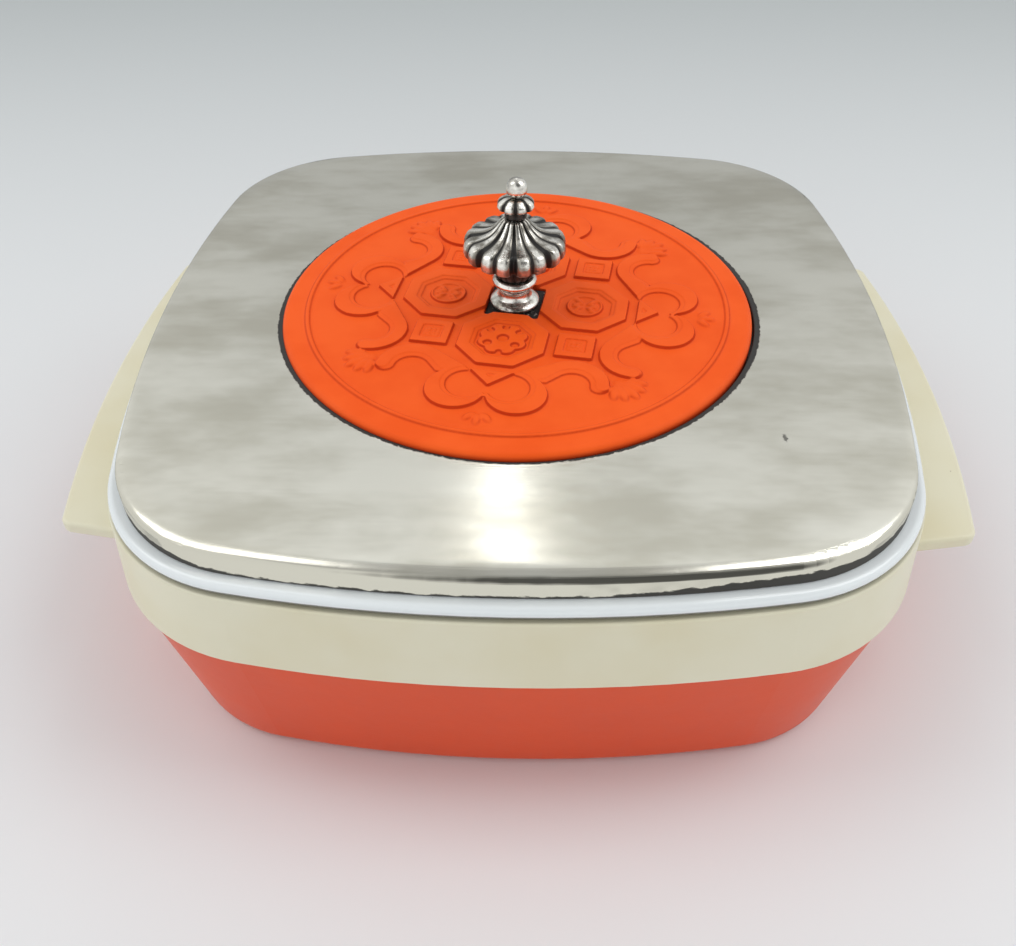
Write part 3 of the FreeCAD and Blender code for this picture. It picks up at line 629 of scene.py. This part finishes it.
# %% Turning helpers
def bow(stations, steps=5):
    """Points along stations (radius, height, swell); each stretch swells outwards by swell mm."""
    points = []
    for (radius, height, swell), (next_radius, next_height, _) in zip(stations, stations[1:]):
        run, rise = next_radius - radius, next_height - height
        length = math.hypot(run, rise)
        for step in range(steps):
            share = step / steps
            bulge = 4 * swell * share * (1 - share) / length
            points.append((radius + run * share + rise * bulge, height + rise * share - run * bulge))
    return points + [stations[-1][:2]]


def stack(points, low, around, lean=0.0):
    """Rings of so many points round an axis at X = lean, at each (radius, height) above low,
    closed at both ends."""
    radius, height = points[0]
    begin(bpy.ops.mesh.primitive_circle_add, vertices=around, radius=radius * MM, fill_type="NGON",
          location=(lean * MM, 0, (low + height) * MM))
    for next_radius, next_height in points[1:]:
        raise_by(next_height - height)
        grow = next_radius / radius
        bpy.ops.transform.resize(value=(grow, grow, 1))
        radius, height = next_radius, next_height


def flute(points, count, around, depth, shape):
    """Presses count grooves into the open stack. depth gives how deep, as a share of the
    radius, a groove is at each height; shape gives the share of it at so many columns from
    the middle of the groove."""
    each = around // count
    for _, height in points:
        local = (height - points[0][1]) * MM
        for step, share in shape.items():
            def in_column(place):
                column = round(math.atan2(place.y, place.x) * around / (2 * math.pi))
                past = (column + around // 4) % each
                return min(past, each - past) == step and abs(place.z - local) < 1e-7
            choose(in_column)
            shrink = 1 - depth(height) * share
            bpy.ops.transform.resize(value=(shrink, shrink, 1))


def soften(piece):
    modify(piece, "SUBSURF", levels=1, render_levels=1)
    bpy.ops.object.shade_smooth()
    return piece


# %% [markdown]
# ## The finial
# From the lid up: a round foot, a collar ring, the fluted onion that the hand takes, a
# crown of eight beads and a ball. Eight deep grooves run over the onion from its neck to
# its underside, with eight shallow ones between them, and a deep one faces the front. The
# knob was screwed on a touch askew, so its pieces stand a little to one side.

# %% Onion and crown
ONION = [(5.6, 0.0, 0.2), (7.2, 3.9, -1.2), (15.2, 8.2, 0.4), (16.5, 10.2, 0.25), (15.9, 13.2, 0.4),
         (13.6, 14.4, -1.9), (3.75, 21.2, 0)]
CROWN = [(3.6, 0.0, 0), (3.5, 2.2, 0), (5.3, 2.9, 0.3), (5.85, 4.1, 0.3), (4.6, 5.6, 0.25),
         (2.2, 6.4, 0), (1.9, 6.5, 0)]
LEAN = {"finial_foot": -1.2, "finial_ring": -1.2, "finial_body": -1.2, "finial_crown": -0.8,
        "finial_ball": -0.5}
GADROONS, BEADS = 8, 8
GADROON_POINTS, BEAD_POINTS = 16, 10
GADROON_SHAPE = {0: 1.0, 1: 0.52, 2: 0.13, 4: 0.03, 6: 0.02, 7: 0.22, 8: 0.55}
BEAD_SHAPE = {0: 1.0, 1: 0.45, 2: 0.12, 5: 0.0}


def share_between(value, low, high):
    return min(max((value - low) / (high - low), 0), 1)


def onion_groove(height):
    return 0.05 + 0.12 * share_between(height, 0, 5) + 0.08 * share_between(height, 15, 18)


def bead_groove(height):
    return 0.02 + 0.16 * share_between(height, 0, 1.2) * share_between(6.1, height, height + 1.0)


def make_fluted(name, stations, count, each, depth, shape):
    points = bow(stations)
    stack(points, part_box(name)[0].z / MM, count * each, LEAN[name])
    flute(points, count, count * each, depth, shape)
    return soften(end(name + "_cast"))


# %% Cast the onion and the crown
body_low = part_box("finial_body")[0].z / MM
onion_grooves = ((GADROONS, 0.085, 0.125), (2 * GADROONS, 0.06, 0.14))
onion_silver = make_antique_silver(
    "onion_silver", LEAN["finial_body"], onion_grooves, body_low + 5.0, body_low + 13.0)
crown_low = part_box("finial_crown")[0].z / MM
crown_silver = make_antique_silver(
    "crown_silver", LEAN["finial_crown"], ((BEADS, 0.11, 0.19),), crown_low + 2.0, crown_low + 3.8)
dress(make_fluted("finial_body", ONION, GADROONS, GADROON_POINTS, onion_groove, GADROON_SHAPE),
      onion_silver, "lid", "antique_silver", "finial_body")
dress(make_fluted("finial_crown", CROWN, BEADS, BEAD_POINTS, bead_groove, BEAD_SHAPE),
      crown_silver, "lid", "antique_silver", "finial_crown")

# %% [markdown]
# The foot, the collar ring and the ball are plain turned forms, so they are stacked from
# the same kind of profile. Black, partly blacking and partly painted shade, goes in the
# waist of the foot and under the ring.

# %% Foot, ring and ball
FOOT = [(6.7, 0.0, 1.6), (6.6, 3.0, -0.1), (5.6, 3.5, -0.6), (5.5, 6.9, 0)]
RING = [(5.5, 0.0, 0.1), (7.0, 1.5, 0.4), (6.9, 3.2, 0.1), (6.2, 3.8, 0)]
BALL = [(1.5, 0.0, -0.1), (1.4, 0.3, 0.9), (3.2, 3.0, 0.9), (0.3, 5.95, 0), (0.1, 6.0, 0)]
ROUND_POINTS = 64


def make_round(name, stations):
    stack(bow(stations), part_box(name)[0].z / MM, ROUND_POINTS, LEAN[name])
    return soften(end(name + "_cast"))


foot_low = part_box("finial_foot")[0].z / MM
foot_silver = make_antique_silver("foot_silver", shade_low=foot_low + 0.2, shade_high=foot_low + 2.0)
ring_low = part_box("finial_ring")[0].z / MM
ring_silver = make_antique_silver("ring_silver", shade_low=ring_low + 0.3, shade_high=ring_low + 1.8)
ball_silver = make_antique_silver("ball_silver")
for name, stations, finish in (
        ("finial_foot", FOOT, foot_silver),
        ("finial_ring", RING, ring_silver),
        ("finial_ball", BALL, ball_silver)):
    dress(make_round(name, stations), finish, "lid", "antique_silver", name)

# %% [markdown]
# ## Ornament plastic
# The disc is moulded in a brighter, duller-surfaced orange than the bowl. The steep little
# walls of its relief are painted deep orange as painted shade, so how level the surface is
# says where the orange turns deep. The rolled rim is painted deep only where it is nearly upright.

# %% Ornament plastic
VIVID = (0.98, 0.118, 0.010, 1)
VIVID_DEEP = (0.93, 0.100, 0.006, 1)
VIVID_SHADE = (0.52, 0.034, 0.001, 1)
SHADED_WITHIN = 74.0


def make_ornament_plastic():
    finish = Finish("ornament_plastic", IOR=1.45, Specular_IOR_Level=0.22)
    cloud = finish.noise(18, 3)
    peel = finish.noise(0.7, 2)
    level = finish.facing_up()
    across, along, _ = finish.axes()
    near, far = (SHADED_WITHIN - 0.5) ** 2, (SHADED_WITHIN + 0.5) ** 2
    inner = finish.ramp(across.power(2) + along.power(2), near, far, 1.0, 0.0)
    # Painted shade: deep orange on steep walls inside SHADED_WITHIN, and on the rim where it is
    # nearly upright.
    wall = finish.ramp(level, 0.62, 0.985, 1.0, 0.0) * inner
    wall = wall.larger(finish.ramp(level, 0.0, 0.7, 1.0, 0.0))
    colour = finish.blend(finish.ramp(cloud, 0.35, 0.7), VIVID, VIVID_DEEP)
    finish.paint(
        Base_Color=finish.blend(wall * 0.85, colour, VIVID_SHADE),
        Roughness=0.50 + cloud * 0.14 + wall * 0.2,
        Normal=finish.bump(peel, 0.012))
    return finish


ornament_plastic = make_ornament_plastic()
print("ornament plastic mixed")

# %% [markdown]
# ## The ornament disc
# The disc carries a moulded star: four octagons and four squares round the finial, and on
# each side a pair of scrolls with a wedge between them, with small leaves on the diagonals.
# Carving all of it from one block would be slow. Here each motif is a small closed solid
# standing on the disc; one quarter is made and copied round, all of it is joined, and a
# voxel remesh melts it into a single skin with the soft corners of a moulding.

# %% Ornament sizes
DISC_LOW, DISC_HIGH = (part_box("medallion")[side].z / MM for side in (0, 1))
DISC_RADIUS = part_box("medallion")[1].x / MM
RELIEF, TERRACE = 1.2, 0.4
DISC_TOP = DISC_HIGH - RELIEF
DISC_TURN, DISC_SHIFT = -9.2, -0.8
PITCH = 23.0
LOBE, EYE = (9.3, -50.0, 9.3), (6.4, -47.1, 6.5)
ARM, ARM_HALF, KNOB = (24.8, -42.0, 8.3), 2.9, 2.9
ROOT, HEEL = (17.0, -42.8), (6.8, -40.2)
EDGE_LINE = 1.7
SOCKET_HALF, SOCKET_LOW, SOCKET_SHIFT = 8.8, 94.2, -1.0
ROOTED = 0.5
VOXEL = 0.30
FACE_LIMIT = 195000
print("disc radius", round(DISC_RADIUS, 2), "top", round(DISC_TOP, 2))

# %% Plates and bands
def on_circle(spot, reach, bearing):
    """The point at a reach from a spot, on a bearing in degrees."""
    angle = math.radians(bearing)
    return spot[0] + reach * math.cos(angle), spot[1] + reach * math.sin(angle)


def plate(corners, low, high):
    """A flat solid over a many-sided outline, its corners moved to their places one by one."""
    begin(bpy.ops.mesh.primitive_circle_add, vertices=len(corners), radius=MM, fill_type="NGON",
          location=(0, 0, low * MM))
    starts = [point.co.copy() for point in bmesh.from_edit_mesh(bpy.context.object.data).verts]
    for start, corner in zip(starts, corners):
        choose(lambda place: (place - start).length < 1e-9)
        bpy.ops.transform.translate(value=Vector((corner[0] * MM, corner[1] * MM, 0)) - start)
    bpy.ops.mesh.select_all(action="SELECT")
    raise_by(high - low)
    return end("plate")


def drum(spot, radius, low, high, sides=48, turn=0.0):
    """A round or regular many-sided plate, left open in edit mode with its top selected."""
    begin(bpy.ops.mesh.primitive_circle_add, vertices=sides, radius=radius * MM, fill_type="NGON",
          location=(spot[0] * MM, spot[1] * MM, low * MM),
          rotation=(0, 0, math.radians(turn)))
    raise_by(high - low)


def band(spot, inner, outer, low, high, start, sweep):
    """A solid band along an arc about spot, from a bearing, spun from an upright plane."""
    middle, across = (inner + outer) / 2, outer - inner
    begin(bpy.ops.mesh.primitive_plane_add, size=MM, rotation=(math.pi / 2, 0, 0),
          location=((spot[0] + middle) * MM, spot[1] * MM, (low + high) / 2 * MM))
    bpy.ops.transform.resize(value=(across, 1, high - low))
    bpy.ops.mesh.spin(steps=24, angle=math.radians(sweep), axis=(0, 0, -1),
                      center=(spot[0] * MM, spot[1] * MM, 0))
    piece = end("band")
    centre = Matrix.Translation((spot[0] * MM, spot[1] * MM, 0))
    piece.data.transform(centre @ Matrix.Rotation(math.radians(start), 4, "Z") @ centre.inverted())
    return piece


# %% [markdown]
# A scroll is a round lobe with an off-centre eye cut out of it, and an arm that leaves the
# lobe and ends in a knob. It is made twice, once at full height and once a little lower
# and wider at its inner edge, which leaves the fine second line inside every scroll.

# %% Scrolls
def scroll_pair(inset, top):
    """Both scrolls of one side, their inner edges drawn back by inset."""
    low = DISC_TOP - ROOTED
    drum(LOBE[:2], LOBE[2], low, top, 64)
    pieces = [end("lobe")]
    inner, outer = ARM[2] - ARM_HALF + inset, ARM[2] + ARM_HALF
    pieces.append(band(ARM[:2], inner, outer, low, top, -5, 143))
    far, near = on_circle(ARM[:2], outer, 122), on_circle(ARM[:2], inner, 138)
    root = (ROOT[0] - 0.6 * inset, ROOT[1] + 0.8 * inset)
    pieces.append(plate([far, HEEL, (HEEL[0] + 3, HEEL[1] - 2.2), root, near], low, top))
    drum((ARM[0] + ARM[2] + inset / 2, ARM[1]), KNOB - inset / 2, low, top, 32)
    pieces.append(end("knob"))
    scroll = join(pieces)
    drum(EYE[:2], EYE[2] + inset, DISC_TOP, DISC_HIGH + 1, 64)
    cut(scroll, end("eye"))
    gap = plate([(-0.1, -51.6), (7.4 + inset / 2, -41.0), (-0.1, -41.0)], DISC_TOP, DISC_HIGH + 1)
    cut(scroll, gap)
    return [scroll, copy(scroll, mirror=True)]


scrolls = scroll_pair(EDGE_LINE, DISC_HIGH) + scroll_pair(0.0, DISC_HIGH - TERRACE)
wedge = plate([(0, -47.2), (HEEL[0], HEEL[1]), (-HEEL[0], HEEL[1])], DISC_TOP - ROOTED, DISC_HIGH)
cut(wedge, plate([(0, -43.6), (2.1, -41.6), (-2.1, -41.6)], DISC_HIGH - 0.5, DISC_HIGH + 1))
print("scrolls modelled:", len(scrolls))

# %% [markdown]
# The squares and octagons are plates whose tops are inset and pressed down in steps. The
# leaves are small flattened domes fanned out from a point.

# %% Frames and leaves
def framed(spot, sides, half, steps, turn):
    """A regular plate whose top is stepped: each step is (how far in, how far down)."""
    drum(spot, half / math.cos(math.pi / sides), DISC_TOP - ROOTED, DISC_HIGH, sides, turn)
    for inward, down in steps:
        bpy.ops.mesh.inset(thickness=inward * MM)
        raise_by(-down)
    return end("frame")


def dome(spot, length, width, height, bearing, level):
    """A leaf: a flattened ball that lies along a bearing, its middle at a level."""
    begin(bpy.ops.mesh.primitive_uv_sphere_add, segments=20, ring_count=10, radius=MM,
          location=(spot[0] * MM, spot[1] * MM, level * MM), rotation=(0, 0, math.radians(bearing)),
          scale=(length, width, height))
    return end("leaf")


def fan(spot, bearing, count, spread, reach, width, height, level):
    """Leaves that share a foot and spread about a bearing; the outer ones are shorter."""
    leaves = []
    for number in range(count):
        side = number - (count - 1) / 2
        way = bearing + side * spread
        long = reach * (1 - 0.05 * abs(side))
        leaves.append(dome(on_circle(spot, long * 0.62, way), long * 0.40, width, height, way, level))
    return leaves


def leaves_of_a_quarter():
    leaves = fan((37.6, -37.6), -45, 5, 22, 10.6, 1.75, 1.15, DISC_TOP)
    leaves.append(dome((40.2, -40.2), 4.2, 3.0, 0.7, -45, DISC_TOP))
    leaves += fan((0, -58.6), -90, 3, 40, 6.8, 1.35, 0.9, DISC_TOP)
    return leaves


def square_of_a_quarter():
    spot = (PITCH, -PITCH)
    square = framed(spot, 4, 6.0, [(2.6, 0.6), (0.9, -0.5), (0.6, 0.40)], 45)
    dots = [dome((spot[0] + 0.8 * x, spot[1] + 0.8 * y), 0.75, 0.75, 0.6, 0, DISC_HIGH - 0.4)
            for x in (-1, 1) for y in (-1, 1)]
    return [square] + dots


quarter = scrolls + [wedge] + leaves_of_a_quarter() + square_of_a_quarter()
print("pieces in a quarter:", len(quarter))

# %% [markdown]
# The octagons are not all alike: those in front and behind hold a full-blown rose with a
# hollow heart, those at the sides a small roundel with four petals.

# %% Octagons
ROSE_PITS = ((0, 0.4, 1.9), (-4.4, -2.8, 1.4), (4.4, -2.8, 1.4), (-4.6, 4.2, 1.2), (4.6, 4.2, 1.2),
             (0, 6.2, 1.2), (0, -7.0, 1.0))


def make_socket(shift, turn):
    """The square hole that the finial's foot stands in."""
    drum((shift, 0), SOCKET_HALF * math.sqrt(2), SOCKET_LOW, DISC_HIGH + 1, 4, 45 + turn)
    return end("socket")


def octagon(spot):
    plain = framed(spot, 8, 14.0, [(4.0, 0.5), (1.3, 0.6)], 22.5)
    cut(plain, make_socket(SOCKET_SHIFT - DISC_SHIFT, 0))
    return plain


def rose(spot):
    """Eight round petals about a heart, with pits pressed in between them."""
    low, high = DISC_HIGH - 1.4, DISC_HIGH - 0.05
    drum(spot, 5.6, low, high, 40)
    petals = [end("heart")]
    for number in range(8):
        drum(on_circle(spot, 5.4, number * 45 + 22.5), 2.7, low, high, 28)
        petals.append(end("petal"))
    flower = join(petals)
    for across, along, radius in ROSE_PITS:
        drum((spot[0] + across, spot[1] + along), radius, high - 0.95, DISC_HIGH + 1, 20)
        cut(flower, end("pit"))
    return [flower]


def roundel(spot):
    """A low drum with four petals on the diagonals and bars between them."""
    level = DISC_HIGH - 0.85
    drum(spot, 5.9, level - 0.5, level + 0.7, 48)
    bpy.ops.mesh.inset(thickness=0.7 * MM)
    raise_by(-0.6)
    pieces = [end("roundel")]
    for way in (45, 135, 225, 315):
        pieces.append(dome(on_circle(spot, 2.7, way), 2.0, 0.9, 0.8, way, level + 0.1))
    for along in (-3.3, -0.55, 0.55, 3.3):
        for across in (-2.9, 2.9):
            pieces.append(dome((spot[0] + across, spot[1] + along), 1.5, 0.55, 0.7, 0, level + 0.1))
    return pieces


stars = [copy(piece, turn) for piece in quarter for turn in (90, 180, 270)]
for spot, filling in (
        ((0, -PITCH), rose),
        ((0, PITCH), rose),
        ((-PITCH, 0), roundel),
        ((PITCH, 0), roundel)):
    stars.append(octagon(spot))
    stars += filling(spot)
relief = join(quarter + stars)
print("relief pieces joined,", len(relief.data.polygons), "faces")

# %% [markdown]
# The disc itself is a round plate with a rolled rim and a raised line near its edge. The
# relief is turned a little and joined to it, the whole is remeshed, and the plain lower
# part, which nobody sees, is cut off and closed again with a few faces.

# %% Disc and remesh
RIM_ROUND, RIDGE, RIDGE_HALF = 2.2, 68.9, 0.9
DISC_MORE, DISC_ASIDE = 0.25, -0.5
HIDDEN_BELOW = 2.2


def make_medallion():
    relief.rotation_euler.z = math.radians(DISC_TURN)
    relief.location.x = DISC_SHIFT * MM
    drum((DISC_ASIDE, 0), DISC_RADIUS + DISC_MORE, DISC_LOW, DISC_TOP, 256)
    bpy.ops.mesh.bevel(offset=RIM_ROUND * MM, segments=5)
    disc = end("disc")
    cut(disc, make_socket(SOCKET_SHIFT, DISC_TURN))
    begin(bpy.ops.mesh.primitive_torus_add, major_radius=RIDGE * MM, minor_radius=RIDGE_HALF * MM,
          major_segments=192, minor_segments=12, location=(DISC_ASIDE * MM, 0, DISC_TOP * MM))
    ridge = end("ridge")
    disc = join([disc, ridge, relief])
    bpy.ops.object.transform_apply(location=True, rotation=True, scale=True)
    modify(disc, "REMESH", mode="VOXEL", voxel_size=VOXEL * MM, use_smooth_shade=True)
    modify(disc, "SMOOTH", factor=0.5, iterations=11)
    close_below(DISC_TOP - HIDDEN_BELOW, DISC_LOW)
    modify(disc, "TRIANGULATE")
    count = len(disc.data.polygons)
    if count > FACE_LIMIT:
        modify(disc, "DECIMATE", ratio=FACE_LIMIT / count)
    disc.name = "ornament_disc"
    bpy.ops.object.shade_smooth_by_angle(angle=math.radians(75))
    return disc


def close_below(level, low):
    """Cuts the active piece off at a level and closes it again with straight walls down to low."""
    bpy.ops.object.mode_set(mode="EDIT")
    bpy.ops.mesh.select_all(action="SELECT")
    bpy.ops.mesh.bisect(plane_co=(0, 0, level * MM), plane_no=(0, 0, 1), clear_inner=True)
    bpy.ops.mesh.extrude_edges_move(TRANSFORM_OT_translate={"value": (0, 0, (low - level) * MM)})
    bpy.ops.mesh.fill()
    bpy.ops.mesh.select_all(action="SELECT")
    bpy.ops.mesh.normals_make_consistent(inside=False)
    bpy.ops.object.mode_set(mode="OBJECT")


dress(make_medallion(), ornament_plastic, "lid", "ornament_plastic", "medallion")

# %% [markdown]
# ## The black sealant
# The disc was bedded in black sealant that a finger smoothed in a hurry, so its edge is
# ragged. Shaking a bead's points gives saw teeth, so the ring is flat and wears the sheet's
# own silver, with the black edge frayed by noise. A square pad of the same sealant sits in
# the socket, under the finial's foot.

# %% Sealant ring and pad
SEAL_DEEP = 3.0
SEAL_RING = [(79.9, 0.0), (79.9, 2.9), (81.2, 2.993), (78.9, 3.018), (78.4, 3.06), (77.9, 3.25),
             (77.5, 3.25), (77.3, 2.9), (77.3, 0.1)]
PAD_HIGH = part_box("finial_pad")[1].z / MM


def make_bead():
    """A thin bed under the disc that rises round it and laps over the sheet's edge."""
    stack(SEAL_RING, LID_TOP - SEAL_DEEP, 256)
    return end("sealant_ring")


def make_pad():
    reach = (SOCKET_HALF - 0.1) * math.sqrt(2)
    drum((SOCKET_SHIFT, 0), reach, SOCKET_LOW, PAD_HIGH, 4, 45 + DISC_TURN)
    bpy.ops.mesh.inset(thickness=0.5 * MM)
    raise_by(0.15)
    return end("sealant_pad")


dress(make_bead(), make_silver_plate("smeared_sealant"), "lid", "black_sealant", "joint_bead")
dress(make_pad(), sealant, "lid", "black_sealant", "finial_pad")

# %% [markdown]
# ## The table and the light
# The casserole stands on a pale sheet of paper between two wide soft lamps, with a narrow
# window lamp behind it, in a room that is light all round. A metal lid shows that room, so
# the room is part of the finish. The world is a smooth gradient with three dim places: low
# down behind, overhead, and a doorway high in front. They give the metal its dark bands.

# %% Table
TABLE_PALE = (0.84, 0.85, 0.86, 1)
TABLE_FAR_SHADE = (0.46, 0.49, 0.49, 1)
TABLE_SIZE = 60


def make_table():
    bpy.ops.object.select_all(action="DESELECT")
    bpy.ops.mesh.primitive_plane_add(size=TABLE_SIZE)
    table = bpy.context.object
    table.name = "table"
    finish = Finish("table_paper", Roughness=0.9)
    _, along, _ = finish.axes()
    # Painted shade: the paper turns darker towards the back.
    far = finish.ramp(along, -150, 850)
    finish.paint(Base_Color=finish.blend(far, TABLE_PALE, TABLE_FAR_SHADE))
    table.data.materials.append(finish.material)


make_table()
print("table laid")

# %% Lamps
LAMPS = (
    ("right", (0.80, 0.0, 1.15), (0, 0, 0), 0.55, 1.0, 3.9),
    ("left", (-0.80, 0.0, 1.15), (0, 0, 0), 0.55, 1.0, 2.9),
    ("window", (-0.035, 0.75, 1.05), (0, -0.1, 0.09), 0.04, 0.27, 0.16))


def make_lamp(name, place, aim, width, height, power):
    lamp = bpy.data.lights.new(name, "AREA")
    lamp.shape = "RECTANGLE"
    lamp.size, lamp.size_y = width, height
    lamp.energy = power
    holder = bpy.data.objects.new(name, lamp)
    bpy.context.scene.collection.objects.link(holder)
    holder.location = place
    holder.rotation_euler = (Vector(place) - Vector(aim)).to_track_quat("Z", "Y").to_euler()


for lamp in LAMPS:
    make_lamp(*lamp)
print("lamps:", len(LAMPS))

# %% World
ROOM_COLOUR = (0.97, 0.99, 1.0, 1)
ROOM_FRONT, ROOM_BACK = 0.98, 0.90
BACK_LOW, CEILING = 0.55, 0.50
DOORWAY, DOORWAY_DIM = (0.25, -0.66, 0.71), 0.12


def make_world():
    """A room a little brighter in front, whose strength is a product of gradual changes."""
    world = bpy.data.worlds.new("room")
    bpy.context.scene.world = world
    world.use_nodes = True
    tree = world.node_tree

    def add(kind, operation=None, **values):
        node = tree.nodes.new("ShaderNode" + kind)
        if operation:
            node.operation = operation
        for socket, value in values.items():
            socket = node.inputs[int(socket[1:]) if socket[0] == "_" else socket.replace("_", " ")]
            if isinstance(value, bpy.types.NodeSocket):
                tree.links.new(value, socket)
            else:
                socket.default_value = value
        return node

    where = add("TexCoord").outputs["Generated"]
    parts = add("SeparateXYZ", _0=where).outputs
    facing = add("VectorMath", "DOT_PRODUCT", _0=where, _1=DOORWAY).outputs["Value"]
    strength = 1.0
    for value, start, stop, first, last in (
            (parts["Y"], -0.8, 0.5, ROOM_FRONT, ROOM_BACK),
            (parts["Y"], 0.64, 0.88, 1.0, BACK_LOW),
            (parts["Z"], 0.86, 0.95, 1.0, CEILING),
            (facing, 0.84, 0.95, 1.0, DOORWAY_DIM)):
        part = add("MapRange", Value=value, From_Min=start, From_Max=stop, To_Min=first, To_Max=last)
        strength = add("Math", "MULTIPLY", _0=strength, _1=part.outputs[0]).outputs[0]
    background = tree.nodes["Background"]
    tree.links.new(strength, background.inputs["Strength"])
    background.inputs["Color"].default_value = ROOM_COLOUR


make_world()
bpy.context.scene.view_settings.view_transform = "Standard"
print("room lit")

# %% [markdown]
# ## Hand over

# %% Finish
print("finished")
